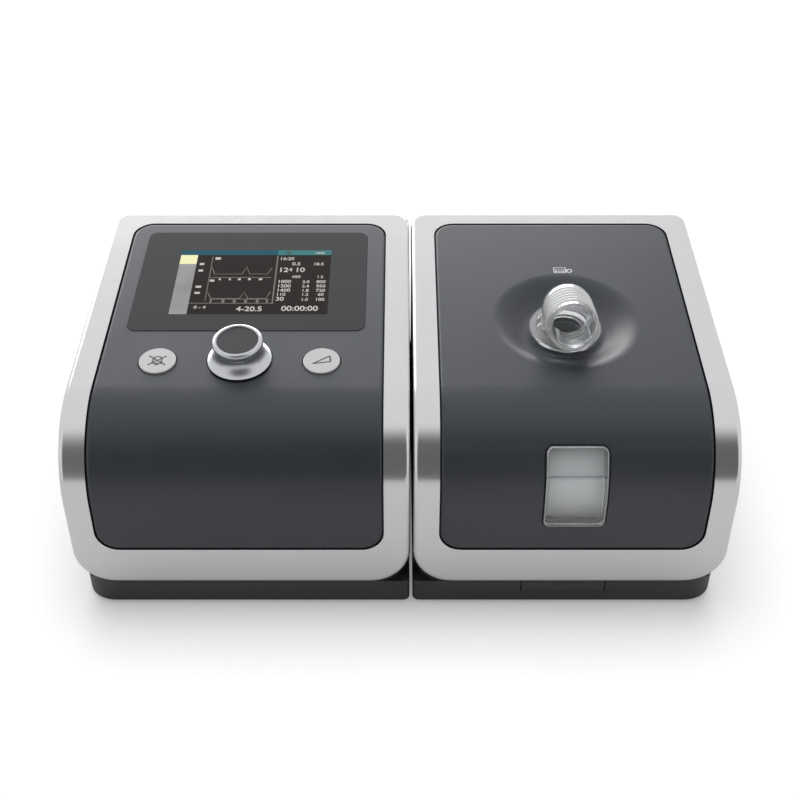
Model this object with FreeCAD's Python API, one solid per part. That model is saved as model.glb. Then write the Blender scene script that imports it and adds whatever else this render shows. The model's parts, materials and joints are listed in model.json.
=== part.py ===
import FreeCAD, Part
import math
import os

from FreeCAD import Placement, Rotation, Vector

# A two-box positive airway pressure machine: a flow generator on the left and a heated humidifier
# docked on its right. X runs to the right, Y to the back and Z up. The origin is on the floor at
# the middle of the whole machine. All sizes are in millimetres.

# ---- driving dimensions: outer form ----
TOTAL_WIDTH = 290.0          # both boxes and the seam between them
MAIN_WIDTH = 149.5           # flow generator
UNIT_GAP = 1.0               # seam between the boxes
TOP_REACH = 162.9            # front face to the back top edge
BACK_HEIGHT = 116.9          # height of the back top edge
TILT = 8.4                   # slope of the top, falling to the front, in degrees
NOSE_RADIUS = 40.0           # bend between the top and the front
FOOT_GAP = 1.5               # floor to the underside of the housings
BASE_HEIGHT = 13.5           # floor to the lower edge of the silver frame

# ---- driving dimensions: silver frame and dark panel ----
WALL = 2.5                   # moulded wall of the frames and housings
FRAME_DEPTH = 12.0           # how far the frame wraps round the sides
FRAME_LOW_CORNER = 18.0      # front lower corners of the frame
FRAME_TOP_CORNER = 7.5       # back corners of the frame
FRAME_EDGE = 2.4             # rounding round the frame
BAND_SIDE = 11.5             # width of the frame at the sides
BAND_BACK = 10.0             # width of the frame at the back
BAND_FRONT = 20.1            # height of the frame below the panel
PANEL_CORNER = 10.0          # corners of the opening for the panel
PANEL_GAP = 0.3              # gap round the panel
PANEL_SHOULDER = 1.6         # rounding of the panel's edge
SKIN = 2.2                   # wall of the panels below the frame
SEAM = 0.3                   # clearance between separate mouldings
CLOSE_SEAM = SEAM / 3        # clearance of parts that are pressed or seated
HOUSING_SETBACK = 3.0        # how far the housing's rim lies inside the frame's sides
HOUSING_CORNER = 9.0         # front upright corners of that rim
CASE_SETBACK = 1.2           # how far the case's sides below the frame lie inside it
CASE_CORNER = 14.0           # front upright corners of the case
BASE_SETBACK = 1.5           # how far the base's front lies behind the frame
HOUSING_BACK_CORNER = 6.0    # back upright corners of the housing
DOCK_SETBACK = 0.2           # docking faces inside the frames' sides
DOCK_CORNER = 3.0            # front corners of the bases at the seam

# ---- driving dimensions: controls ----
LENS_LEFT = 20.0             # left side of the frame to the display lens
LENS_RIGHT = 20.6            # right side of the frame to the display lens
LENS_BACK = 17.9             # back edge to the lens, down the slope
LENS_LENGTH = 75.6
LENS_CORNER = 4.5
LENS_THICK = 2.0
LENS_PROUD = 0.25
LCD_OFFSET = 0.2             # picture centre to the right of the lens's middle
LCD_DROP = 1.75              # picture centre below the lens's middle, down the slope
LCD_WIDTH = 73.44            # active area of a 3.5 inch display
LCD_HEIGHT = 48.96
LCD_RIM = 4.0                # module body round the active area
LCD_THICK = 3.4
BUTTON_RADIUS = 8.25
BUTTON_GAP = 0.5
BUTTON_PROUD = 0.8
BUTTON_TRAVEL = 0.6
BUTTON_BACK = 114.4          # back edge to the button centres
BUTTON_SPREAD = 36.3         # knob centre to a button centre
BUTTON_FLANGE = 1.6          # flange that keeps the button in the panel
BUTTON_STEM = 2.5
KNOB_SHIFT = -0.45           # knob to the right of the lens's middle
KNOB_BACK = 113.2
KNOB_SKIRT = 14.1            # radius at the panel
KNOB_WAIST = 10.2
KNOB_RIM = 11.0
KNOB_HEIGHT = 12.0
KNOB_TRAVEL = 0.6
KNOB_RECESS_GAP = 0.7
KNOB_RECESS_DEPTH = 0.9
KNOB_LIFT = 0.9              # underside of the skirt above the recess floor
KNOB_WAIST_LEVEL = 0.6        # height of the waist, as a share of the knob's
KNOB_FLARE_LEVEL = 0.27       # height of the middle of the flare, as a share of the knob's
KNOB_FLARE = 1.1             # flare there, out from the waist
KNOB_TOE = 0.3               # the skirt's foot tapers in by this
KNOB_NECK_SPREAD = 0.15      # neck just above the waist, out from it
KNOB_NECK_RISE = 1.4
KNOB_LIP_DROP = 2.6          # lower end of the rounded lip below the top
KNOB_LIP_TURN = 0.7          # turn of the lip below the top
KNOB_LIP_INSET = 0.1         # turn of the lip inside the widest radius
KNOB_LIP_EDGE = 0.5          # chamfer inside the lip
KNOB_CAP_RADIUS = 9.0
KNOB_CAP_SINK = 0.7
KNOB_CAP_THICK = 1.2
SHAFT_RADIUS = 3.0
SHAFT_FIT = 0.05             # running clearance of shafts and pins
ENCODER_SIZE = 12.5
ENCODER_HEIGHT = 6.0
BOARD_THICK = 1.6
BOARD_DROP = 16.0            # top of the panel to the top of the control board
SWITCH_SIZE = 6.0
STANDOFF_RADIUS = 3.0

# ---- driving dimensions: back and underside of the flow generator ----
FOOT_RADIUS = 7.0
FOOT_HEIGHT = 2.6
FOOT_INSET = 22.0            # housing sides to the foot centres
SCREW_RADIUS = 1.5
SCREW_HEAD = 2.8
SCREW_HEAD_HEIGHT = 1.8
SCREW_LENGTH = 10.0
SCREW_SOCKET = 1.2           # radius of the socket in the head
SCREW_INSET = 9.0
BOSS_RADIUS = 4.0
FILTER_WIDTH = 52.0
FILTER_HEIGHT = 40.0
FILTER_CENTRE_X = 46.0       # left side of the housing to the filter centre
FILTER_CENTRE_DROP = 62.0    # back top edge to the filter centre
FILTER_CORNER = 5.0
FILTER_COVER_THICK = 3.0
FILTER_PAD_THICK = 7.0
FILTER_BARS = 7
FILTER_BAR_GAP = 2.4
DC_CENTRE_X = 118.0          # left side of the housing to the power socket
DC_DROP = 88.0
DC_RADIUS = 3.3
DC_PIN_RADIUS = 1.1
DC_BODY = 11.0
DC_DEPTH = 13.0
PORT_CENTRE_X = 94.0         # left side of the housing to the data socket
PORT_WIDTH = 13.0
PORT_HEIGHT = 7.0
PORT_DEPTH = 12.0
CARD_WIDTH = 24.0
CARD_LENGTH = 32.0
CARD_THICK = 2.1
CARD_HEIGHT = 48.0           # floor to the card
CARD_Y = 34.0                # card centre, from the middle of the machine
CARD_PROUD = 1.2
CARD_PLAY = 0.35
CARD_WALL = 1.2

# ---- driving dimensions: blower and air path ----
BLOWER_X = 62.0              # left side of the housing to the blower axis
BLOWER_Y = -2.0
BLOWER_BASE = 10.0           # floor to the blower's underside
BLOWER_RADIUS = 29.0         # inside of the volute at its narrowest
BLOWER_WALL = 2.0
BLOWER_HALF = 15.0           # height of each half of the blower
VOLUTE_GROWTH = 12.0         # how much the volute opens in one turn
IMPELLER_RADIUS = 25.0
IMPELLER_EYE = 10.0
IMPELLER_PLATE = 1.5
IMPELLER_TALL = 10.0
BLADE_COUNT = 11
BLADE_THICK = 1.2
BLADE_SWEEP = 42.0           # turn of a blade from the eye to the rim, in degrees
BLADE_BEND = 0.62            # share of that turn at half its length
MOTOR_RADIUS = 15.0
MOTOR_HEIGHT = 18.0
MOTOR_SHAFT = 2.0
CRADLE_WALL = 3.0
SPIGOT_HEIGHT = 51.5         # floor to the spigot's axis
SPIGOT_RADIUS = 11.0
SPIGOT_BORE = 9.0
SPIGOT_REACH = 14.0          # spigot beyond the housing's side
SPIGOT_EDGE = 0.8            # rounding of the spigot's tip
SPIGOT_FLANGE = 15.0
DUCT_WALL = 1.6
NOZZLE_RADIUS = 7.3          # outside of the stubs that the duct slips over
NOZZLE_REACH = 4.0           # nozzle beyond the volute
SLEEVE = 6.0                 # overlap of the duct and a stub
MUFFLER_WIDTH = 42.0
MUFFLER_DEPTH = 20.0
MUFFLER_HEIGHT = 58.0
POST_SPREAD = 19.0           # blower axis to its posts along X and Y
DUCT_BEND = 13.0             # bend radius of the duct's axis
MAIN_BOARD_DEPTH = 26.0
MAIN_BOARD_GAP = 3.0         # housing's floor to the main board
CAPACITOR_RADIUS = 5.0
CAPACITOR_HEIGHT = 14.0
CAPACITOR_COUNT = 3
CAPACITOR_PITCH = 3 * CAPACITOR_RADIUS
CAPACITOR_INSET = 4 * CAPACITOR_RADIUS     # end of the board to the first capacitor
DRIVER_INSET = 3 * CAPACITOR_RADIUS        # end of the board to the driver block
DRIVER_LENGTH = 3 * CAPACITOR_RADIUS

# ---- driving dimensions: humidifier ----
HINGE_RADIUS = 3.2
HINGE_OUT = 1.0              # hinge axis behind the back face
HINGE_DROP = 13.5            # hinge axis below the top
HINGE_PIN_RADIUS = 1.5
HINGE_KNUCKLE = 9.0          # length of each knuckle
HINGE_SPREAD = 42.0          # middle of the hood to each hinge
DIMPLE_RADIUS = 34.0
DIMPLE_DEPTH = 6.0
DIMPLE_BACK = 85.5           # back edge to the dimple centre
DIMPLE_SHIFT = 1.2           # dimple centre to the right of the hood's middle
DIMPLE_STEPS = 8             # points of its curve
ELBOW_FLANGE = 16.5
ELBOW_FLANGE_THICK = 1.8
ELBOW_RISER = 11.6
ELBOW_RISE = 12.0            # flange to the bend centre
ELBOW_OUT = 29.5             # bend centre to the mouth
ELBOW_LIFT = 23.4            # outlet above the plane of the panel, in degrees
ELBOW_TURN = -3.0            # outlet turned from straight ahead, in degrees
OUTLET_RADIUS = 11.0         # 22 mm connector
OUTLET_WALL = 1.9
RIDGE_DEPTH = 0.9
RIDGE_PITCH = 2.3
RIDGE_COUNT = 8
RIDGE_CREST = 0.9
RIDGE_VALLEY = 0.3
OUTLET_LAND = 4.0            # plain seat at the mouth
NECK_RADIUS = 9.6            # neck of the elbow in the hood
WINDOW_WIDTH = 26.7
WINDOW_LOW = 47.6            # floor to the window's lower edge
WINDOW_HIGH = 84.2
WINDOW_CORNER = 3.0
WINDOW_PROUD = 0.8
WINDOW_THICK = 2.4
WINDOW_WALL = 1.5
TAB_WIDTH = 37.5
TAB_GAP = 0.5
TAB_TOP = 13.2
TAB_LOW = 7.2
TAB_THICK = 2.6
TAB_TRAVEL = 1.6
TAB_SHIFT = -1.4             # tab centre to the right of the hood's middle
CHAMBER_WALL = 2.0
CHAMBER_FLOOR = 16.0         # floor to the underside of the tub
CHAMBER_SIDE_GAP = 8.0       # housing's inside to the tub
CHAMBER_HEIGHT = 52.0
CHAMBER_DEPTH = 136.0
CHAMBER_CORNER = 10.0
CHAMBER_RIM = 3.0
COVER_HEIGHT = 12.0
HEATER_RADIUS = 38.0
HEATER_THICK = 3.0
INSULATOR_THICK = 4.0
SEAL_RADIUS = 14.0
SEAL_FIT = 0.2               # inlet seal round the spigot
SEAL_FLANGE = 2.0
GASKET_THICK = 1.0
NECK_DEPTH = 14.0            # top to the end of the elbow's neck
GASKET_OUT = 16.0            # outlet gasket under the hood
GASKET_IN = 12.5
GASKET_DEPTH = 15.0
RING_OUT = 11.6
RING_THICK = 1.4
PORT_BORE = 9.0
PLATE_THICK = 1.0

# ---- derived places ----
TILT_SIN = math.sin(math.radians(TILT))
TILT_COS = math.cos(math.radians(TILT))
TILT_TAN = math.tan(math.radians(TILT))
FRONT_Y = -(TOP_REACH + BACK_HEIGHT * TILT_TAN) / 2
BACK_Y = FRONT_Y + TOP_REACH
SLOPE = Placement(Vector(0, BACK_Y, BACK_HEIGHT), Rotation(Vector(1, 0, 0), TILT))
FAR = TOTAL_WIDTH            # reach of cutting tools past the object
FULL_TURN = 360.0
EDGE = 1.0                   # how far a cutting tool runs past a face
MAIN_LEFT = -TOTAL_WIDTH / 2
MAIN_RIGHT = MAIN_LEFT + MAIN_WIDTH
HOOD_LEFT = MAIN_RIGHT + UNIT_GAP
HOOD_RIGHT = TOTAL_WIDTH / 2
HOOD_X = (HOOD_LEFT + HOOD_RIGHT) / 2
UNDER_SKIN = WALL + SEAM                 # depth of the panel's underlay below the top
UNDER_FLOOR = UNDER_SKIN + SKIN          # depth of the underlay's inner face
HOUSING_TOP = UNDER_FLOOR + SEAM         # depth of the housing's rim below the top
FLOOR_TOP = FOOT_GAP + WALL
PANEL_BACK = BAND_BACK
PANEL_LOW = BASE_HEIGHT + BAND_FRONT

nodes = {}


def box(x0, x1, y0, y1, z0, z1):
    """Block between two corners."""
    return Part.makeBox(x1 - x0, y1 - y0, z1 - z0, Vector(x0, y0, z0))


def rod(radius, length, base, axis=Vector(0, 0, 1)):
    """Cylinder that starts at base and runs along axis."""
    return Part.makeCylinder(radius, length, base, axis)


def tube(outer, inner, length, base, axis=Vector(0, 0, 1)):
    """Hollow cylinder that starts at base and runs along axis."""
    return rod(outer, length, base, axis).cut(rod(inner, length, base, axis))


def on_slope(shape):
    """Move a shape from the top's own frame (X, up the slope, out of the top) to the object."""
    moved = shape.copy()
    moved.Placement = SLOPE.multiply(moved.Placement)
    return moved


def turned(profile, centre_x, centre_y, base_z):
    """Revolve (radius, height) points round an upright axis."""
    points = [Vector(radius, 0, height) for radius, height in profile]
    face = Part.Face(Part.makePolygon(points + points[:1]))
    solid = face.revolve(Vector(0, 0, 0), Vector(0, 0, 1), FULL_TURN)
    solid.translate(Vector(centre_x, centre_y, base_z))
    return solid


def rounded_block(x0, x1, y0, y1, z0, z1, radius):
    """Block whose four upright edges are rounded."""
    block = box(x0, x1, y0, y1, z0, z1)
    uprights = [edge for edge in block.Edges if is_upright(edge)]
    return block.makeFillet(radius, uprights)


def is_upright(edge):
    """True for a straight edge along Z."""
    first, last = edge.Vertexes[0].Point, edge.Vertexes[-1].Point
    return abs(first.x - last.x) + abs(first.y - last.y) < 1e-6


def along_y(shape):
    """Turn a shape drawn in XY and raised along Z so that its height runs along -Y."""
    moved = shape.copy()
    moved.rotate(Vector(0, 0, 0), Vector(1, 0, 0), 90)
    return moved


def body_section(inset, low_z, x):
    """Side outline of the boxes, moved inwards by inset and closed at low_z."""
    corner = SLOPE.multVec(Vector(0, -inset, -inset))
    front = FRONT_Y + inset
    tip_z = corner.z - (corner.y - front) * TILT_TAN
    radius = NOSE_RADIUS - inset
    half_bend = math.radians((90 - TILT) / 2)
    reach = radius * math.tan(half_bend)
    centre = Vector(x, front + radius, tip_z - reach)
    low = Vector(x, front, tip_z - reach)
    middle = centre + Vector(0, -math.cos(half_bend), math.sin(half_bend)) * radius
    high = Vector(x, front + reach * TILT_COS, tip_z + reach * TILT_SIN)
    back = Vector(x, corner.y, corner.z)
    foot = Vector(x, corner.y + (corner.z - low_z) * TILT_TAN, low_z)
    toe = Vector(x, front, low_z)
    edges = [Part.makeLine(toe, low), Part.Arc(low, middle, high).toShape(), Part.makeLine(high, back)]
    edges += [Part.makeLine(back, foot), Part.makeLine(foot, toe)]
    return Part.Face(Part.Wire(edges))


def hull(inset, left, right, low_z):
    """The side outline run across the width."""
    return body_section(inset, low_z, left).extrude(Vector(right - left, 0, 0))


def slope_prism(left, right, back, corner):
    """Rounded rectangle seen from above the slope, open towards the front."""
    length = TOP_REACH / TILT_COS + FAR
    prism = rounded_block(left, right, -length, -back, -FAR, FAR, corner)
    return on_slope(prism)


def front_prism(left, right, low_z, high_z, corner, depth):
    """Rectangle with rounded lower corners seen from the front."""
    block = rounded_block(left, right, low_z, high_z + FAR, -FRONT_Y - depth, -FRONT_Y + FAR, corner)
    trimmed = along_y(block).common(box(left, right, FRONT_Y - FAR, FRONT_Y + depth, low_z, high_z))
    return trimmed


def opening_tool(left, right, grow, depth):
    """Cutter for the dark panel's outline, larger by grow on every side."""
    x0, x1 = left + BAND_SIDE - grow, right - BAND_SIDE + grow
    corner = PANEL_CORNER + grow
    skin = on_slope(box(x0, x1, -FAR, FAR, -depth, FAR))
    top = slope_prism(x0, x1, PANEL_BACK - grow, corner).common(skin)
    face_top = BACK_HEIGHT - TOP_REACH * TILT_TAN
    front = front_prism(x0, x1, PANEL_LOW - grow, face_top, corner, depth)
    return top.fuse(front).removeSplitter()


# ---- frames, panels and housings shared by both boxes ----
def outer_form(left, right, inset):
    """Outer form of the frame, moved inwards by inset."""
    form = hull(inset, left + inset, right - inset, BASE_HEIGHT - EDGE * (inset > 0))
    low = BASE_HEIGHT if inset == 0 else BASE_HEIGHT - EDGE
    corner = FRAME_LOW_CORNER - inset
    form = form.common(front_prism(left + inset, right - inset, low, FAR, corner, FAR))
    return form.common(slope_prism(left + inset, right - inset, inset, FRAME_TOP_CORNER - inset))


def make_frame(left, right):
    """Silver hoop round the top and the front, with skirts down the sides."""
    outer = outer_form(left, right, 0)
    outer = outer.makeFillet(FRAME_EDGE, skin_rim(outer, right - left))
    shell = outer.cut(outer_form(left, right, WALL))
    core = hull(FRAME_DEPTH, left - EDGE, right + EDGE, -FAR)
    behind = on_slope(box(left - EDGE, right + EDGE, -TOP_REACH / 2, FAR, -FAR, -FRAME_DEPTH))
    return shell.cut(core).cut(behind).cut(opening_tool(left, right, 0, FRAME_DEPTH))


def make_panel(left, right):
    """Dark panel: a plug that fills the frame's opening and an underlay that carries it."""
    plug = hull(0, left, right, BASE_HEIGHT).cut(hull(UNDER_SKIN, left, right, -FAR))
    plug = plug.common(opening_tool(left, right, -PANEL_GAP, FRAME_DEPTH)).removeSplitter()
    rim = skin_rim(plug, right - left - 2 * (BAND_SIDE + PANEL_GAP))
    plug = plug.makeFillet(PANEL_SHOULDER, rim)
    side = WALL + SEAM
    low = BASE_HEIGHT + SEAM
    under = hull(UNDER_SKIN, left + side, right - side, low)
    under = under.cut(hull(UNDER_FLOOR, left, right, -FAR))
    corner = FRAME_LOW_CORNER - side
    under = under.common(front_prism(left + side, right - side, low, FAR, corner, FAR))
    under = under.common(slope_prism(left + side, right - side, side + SKIN, FRAME_TOP_CORNER - side))
    return plug.fuse(under).removeSplitter()


def skin_rim(solid, width):
    """Edges round the outer skin of a solid, without the level ones that cross its full width."""
    return [edge for edge in solid.Edges if on_outer_skin(edge) and edge.BoundBox.XLength < width - EDGE]


def on_outer_skin(edge):
    """True for an edge that lies on the outer skin all along."""
    count = 5
    start, end = edge.ParameterRange
    for step in range(count):
        point = edge.valueAt(start + (end - start) * step / (count - 1))
        if skin_depth(point) > SEAM / 2:
            return False
    return True


def skin_depth(point):
    """Depth of a point below the outer skin, ends left aside."""
    local = SLOPE.inverse().multVec(point)
    face_top = BACK_HEIGHT - TOP_REACH * TILT_TAN
    reach = NOSE_RADIUS * math.tan(math.radians((90 - TILT) / 2))
    centre = Vector(point.x, FRONT_Y + NOSE_RADIUS, face_top - reach)
    if point.z <= centre.z:
        return point.y - FRONT_Y
    if point.y < FRONT_Y + reach * TILT_COS:
        return NOSE_RADIUS - point.distanceToPoint(centre)
    return -local.z


def housing_plan(left, right, side, corner, low_z):
    """Footprint of a housing run upwards from low_z, its sides moved inwards by side."""
    x0, x1 = left + side, right - side
    front = FRONT_Y + BASE_SETBACK
    block = rounded_block(x0, x1, front, -front + FAR, low_z, FAR, corner)
    return block.common(on_slope(rounded_block(x0, x1, -FAR, 0, -FAR, FAR, HOUSING_BACK_CORNER)))


def make_housing(left, right):
    """Dark lower case: sides nearly flush with the frame and a rim that rises inside it."""
    outer = housing_plan(left, right, CASE_SETBACK, CASE_CORNER, FOOT_GAP)
    outer = outer.common(hull(0, left, right, FOOT_GAP))
    low_zone = box(left, right, FRONT_Y, FAR, 0, BASE_HEIGHT + FRAME_LOW_CORNER)
    base = outer.common(low_zone).cut(frame_outline(left, right))
    sides = outer.common(hull(FRAME_DEPTH + SEAM, left, right, FOOT_GAP))
    back_zone = on_slope(box(left, right, -2 * FRAME_DEPTH, EDGE, -FAR, -FRAME_DEPTH - SEAM))
    rim = housing_plan(left, right, HOUSING_SETBACK, HOUSING_CORNER, FOOT_GAP)
    rim = rim.common(hull(HOUSING_TOP, left, right, BASE_HEIGHT - EDGE)).cut(corner_relief(left, right))
    solid = base.fuse([sides, outer.common(back_zone), rim])
    return solid.cut(housing_cavity(left, right)).removeSplitter()


def frame_outline(left, right):
    """Space of the frame's front, as seen from the front, with the seam round it."""
    depth = FRAME_DEPTH + SEAM
    return front_prism(left - SEAM, right + SEAM, BASE_HEIGHT - SEAM, FAR, FRAME_LOW_CORNER + SEAM, depth)


def corner_relief(left, right):
    """Material that the housing leaves free for the frame's rounded lower corners."""
    low = BASE_HEIGHT - SEAM
    inset = UNDER_SKIN
    depth = FRAME_DEPTH + SEAM
    block = box(left, right, FRONT_Y - EDGE, FRONT_Y + depth, low, BACK_HEIGHT)
    inner = front_prism(left + inset, right - inset, low, FAR, FRAME_LOW_CORNER, 2 * depth)
    return block.cut(inner)


def housing_cavity(left, right):
    """Hollow of the tray, open upwards."""
    front = FRONT_Y + HOUSING_TOP + WALL
    x0, x1 = left + HOUSING_SETBACK + WALL, right - HOUSING_SETBACK - WALL
    block = rounded_block(x0, x1, front, FAR, FLOOR_TOP, FAR, HOUSING_CORNER - WALL)
    behind = on_slope(box(left, right, -WALL, FAR, -FAR, FAR))
    return block.cut(behind)


# ---- flow generator: display and controls ----
LENS_X0 = MAIN_LEFT + LENS_LEFT
LENS_X1 = MAIN_RIGHT - LENS_RIGHT
LENS_Y1 = -LENS_BACK
LENS_Y0 = LENS_Y1 - LENS_LENGTH
LCD_X = (LENS_X0 + LENS_X1) / 2 + LCD_OFFSET
LCD_Y = -LENS_BACK - LENS_LENGTH / 2 - LCD_DROP
KNOB_AT = (LENS_X0 + LENS_X1) / 2 + KNOB_SHIFT
LENS_SEAT = LENS_THICK - LENS_PROUD + CLOSE_SEAM
BOARD_TOP = -BOARD_DROP
LCD_TOP = -LENS_SEAT - SEAM
RECESS_RADIUS = KNOB_SKIRT + KNOB_RECESS_GAP
RECESS_FLOOR = -KNOB_RECESS_DEPTH
PANEL_INSIDE = -UNDER_FLOOR
SWITCH_TOP = PANEL_INSIDE - BUTTON_FLANGE - BUTTON_STEM - BUTTON_TRAVEL - 2 * SEAM
ENCODER_TOP = BOARD_TOP + ENCODER_HEIGHT


def lens_block(grow, low, high):
    """Rounded rectangle of the display lens, larger by grow."""
    corner = LENS_CORNER + grow
    return rounded_block(LENS_X0 - grow, LENS_X1 + grow, LENS_Y0 - grow, LENS_Y1 + grow, low, high, corner)


def lcd_block(grow, low, high):
    """Body of the display module, larger by grow."""
    half_x = LCD_WIDTH / 2 + LCD_RIM + grow
    half_y = LCD_HEIGHT / 2 + LCD_RIM + grow
    return box(LCD_X - half_x, LCD_X + half_x, LCD_Y - half_y, LCD_Y + half_y, low, high)


def button_centres():
    """Places of the two round keys on the slope."""
    return {"mute_button": KNOB_AT - BUTTON_SPREAD, "ramp_button": KNOB_AT + BUTTON_SPREAD}


def make_button(centre_x):
    """Round key with a flange that keeps it under the panel and a stem for its switch."""
    y = -BUTTON_BACK
    cap = rod(BUTTON_RADIUS, BUTTON_PROUD + UNDER_FLOOR + SEAM, Vector(centre_x, y, PANEL_INSIDE - SEAM))
    top = [edge for edge in cap.Edges if edge.BoundBox.ZMin > 0 and edge.Closed]
    cap = cap.makeFillet(BUTTON_PROUD / 2, top)
    flange_low = PANEL_INSIDE - SEAM - BUTTON_FLANGE
    flange = rod(BUTTON_RADIUS + 2 * BUTTON_GAP + SEAM, BUTTON_FLANGE, Vector(centre_x, y, flange_low))
    stem = rod(BUTTON_STEM, BUTTON_STEM, Vector(centre_x, y, flange_low - BUTTON_STEM))
    return on_slope(cap.fuse([flange, stem]).removeSplitter())


def panel_cutters():
    """Everything that is taken out of the flow generator's panel."""
    cutters = [lens_block(PANEL_GAP / 2, -LENS_SEAT, EDGE)]
    cutters.append(lcd_block(SEAM, -UNDER_FLOOR - EDGE, EDGE))
    for centre_x in button_centres().values():
        button_at = Vector(centre_x, -BUTTON_BACK, -UNDER_FLOOR - EDGE)
        cutters.append(rod(BUTTON_RADIUS + BUTTON_GAP, 2 * UNDER_FLOOR, button_at))
    recess_at = Vector(KNOB_AT, -KNOB_BACK, RECESS_FLOOR)
    cutters.append(rod(RECESS_RADIUS, UNDER_FLOOR, recess_at))
    shaft_at = Vector(KNOB_AT, -KNOB_BACK, -UNDER_FLOOR - EDGE)
    cutters.append(rod(SHAFT_RADIUS + 2 * SEAM, 2 * UNDER_FLOOR, shaft_at))
    return on_slope(Part.makeCompound(cutters))


def make_main_panel():
    """Upper cover of the flow generator with the display pocket and the holes for the controls."""
    panel = make_panel(MAIN_LEFT, MAIN_RIGHT)
    for cutter in panel_cutters().Solids:
        panel = panel.cut(cutter)
    return panel.removeSplitter()


def make_lens():
    """Smoked window with a softened upper edge."""
    lens = lens_block(0, -LENS_THICK + LENS_PROUD, LENS_PROUD)
    top = [edge for edge in lens.Edges if edge.BoundBox.ZMin > 0]
    return on_slope(lens.makeFillet(LENS_PROUD / 2, top))


def make_lcd():
    """Display module: glass and frame, carried by the control board."""
    body = lcd_block(0, LCD_TOP - LCD_THICK, LCD_TOP)
    half_x, half_y = LCD_WIDTH / 2, LCD_HEIGHT / 2
    glass_low = LCD_TOP - SEAM
    bezel = body.cut(box(LCD_X - half_x, LCD_X + half_x, LCD_Y - half_y, LCD_Y + half_y, glass_low, EDGE))
    rise = LCD_TOP - LCD_THICK - BOARD_TOP
    feet = [Vector(LCD_X + sx * half_x, LCD_Y + sy * half_y, BOARD_TOP) for sx in (-1, 1) for sy in (-1, 1)]
    legs = [rod(STANDOFF_RADIUS, rise, foot) for foot in feet]
    return on_slope(bezel.fuse(legs).removeSplitter())


def make_control_board():
    """Printed board below the panel for the display, the keys and the knob's encoder."""
    x0, x1 = LENS_X0, LENS_X1
    y0, y1 = -BUTTON_BACK - 2 * BUTTON_RADIUS + SWITCH_SIZE / 2, -LENS_BACK
    board = rounded_block(x0, x1, y0, y1, BOARD_TOP - BOARD_THICK, BOARD_TOP, STANDOFF_RADIUS)
    posts = []
    for x in (x0 + STANDOFF_RADIUS, x1 - STANDOFF_RADIUS):
        for y in (y0 + STANDOFF_RADIUS, y1 - STANDOFF_RADIUS):
            posts.append(rod(STANDOFF_RADIUS, PANEL_INSIDE - BOARD_TOP, Vector(x, y, BOARD_TOP)))
    return on_slope(board.fuse(posts).removeSplitter())


def make_switches():
    """Two tact switches under the keys."""
    switches = []
    for x in button_centres().values():
        half = SWITCH_SIZE / 2
        body = box(x - half, x + half, -BUTTON_BACK - half, -BUTTON_BACK + half, BOARD_TOP, SWITCH_TOP)
        switches.append(on_slope(body))
    return Part.makeCompound(switches)


def make_encoder():
    """Encoder body with the bore for its plunger."""
    half = ENCODER_SIZE / 2
    body = box(KNOB_AT - half, KNOB_AT + half, -KNOB_BACK - half, -KNOB_BACK + half, BOARD_TOP, ENCODER_TOP)
    bore = rod(SHAFT_RADIUS + SHAFT_FIT, ENCODER_HEIGHT, Vector(KNOB_AT, -KNOB_BACK, BOARD_TOP + EDGE))
    return on_slope(body.cut(bore))


def make_plunger():
    """Encoder shaft that slides in the encoder body and carries the knob."""
    low = BOARD_TOP + EDGE + KNOB_TRAVEL + SEAM
    high = KNOB_HEIGHT / 2
    return on_slope(rod(SHAFT_RADIUS, high - low, Vector(KNOB_AT, -KNOB_BACK, low)))


def make_knob():
    """Bright knob: a flared skirt, a waist and a rounded rim, bored for the shaft."""
    base = RECESS_FLOOR + KNOB_LIFT
    top = KNOB_HEIGHT
    cap_floor = top - KNOB_CAP_SINK - KNOB_CAP_THICK - CLOSE_SEAM
    rim_in = KNOB_CAP_RADIUS + CLOSE_SEAM
    waist_z = top * KNOB_WAIST_LEVEL
    bore = SHAFT_RADIUS + SHAFT_FIT
    flare = Vector(KNOB_WAIST + KNOB_FLARE, 0, top * KNOB_FLARE_LEVEL)
    waist = Vector(KNOB_WAIST, 0, waist_z)
    skirt = Part.Arc(Vector(KNOB_SKIRT, 0, base + EDGE), flare, waist)
    lip_low = Vector(KNOB_RIM, 0, top - KNOB_LIP_DROP)
    neck = Part.Arc(waist, Vector(KNOB_WAIST + KNOB_NECK_SPREAD, 0, waist_z + KNOB_NECK_RISE), lip_low)
    rim_top = Vector(rim_in + KNOB_LIP_EDGE, 0, top)
    lip = Part.Arc(lip_low, Vector(KNOB_RIM - KNOB_LIP_INSET, 0, top - KNOB_LIP_TURN), rim_top)
    corners = [rim_top, Vector(rim_in, 0, top - KNOB_LIP_EDGE)]
    corners += [Vector(rim_in, 0, cap_floor), Vector(0, 0, cap_floor)]
    bore_top = KNOB_HEIGHT / 2 + CLOSE_SEAM
    corners += [Vector(0, 0, bore_top), Vector(bore, 0, bore_top), Vector(bore, 0, base)]
    corners += [Vector(KNOB_SKIRT - KNOB_TOE, 0, base), Vector(KNOB_SKIRT, 0, base + EDGE)]
    edges = [skirt.toShape(), neck.toShape(), lip.toShape()]
    edges += [Part.makeLine(a, b) for a, b in zip(corners, corners[1:])]
    profile = Part.Face(Part.Wire(Part.__sortEdges__(edges)))
    knob = profile.revolve(Vector(0, 0, 0), Vector(0, 0, 1), FULL_TURN)
    knob.translate(Vector(KNOB_AT, -KNOB_BACK, 0))
    return on_slope(knob)


def make_knob_cap():
    """Dark disc let into the top of the knob."""
    top = KNOB_HEIGHT - KNOB_CAP_SINK
    disc = rod(KNOB_CAP_RADIUS, KNOB_CAP_THICK, Vector(KNOB_AT, -KNOB_BACK, top - KNOB_CAP_THICK))
    return on_slope(disc)


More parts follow.
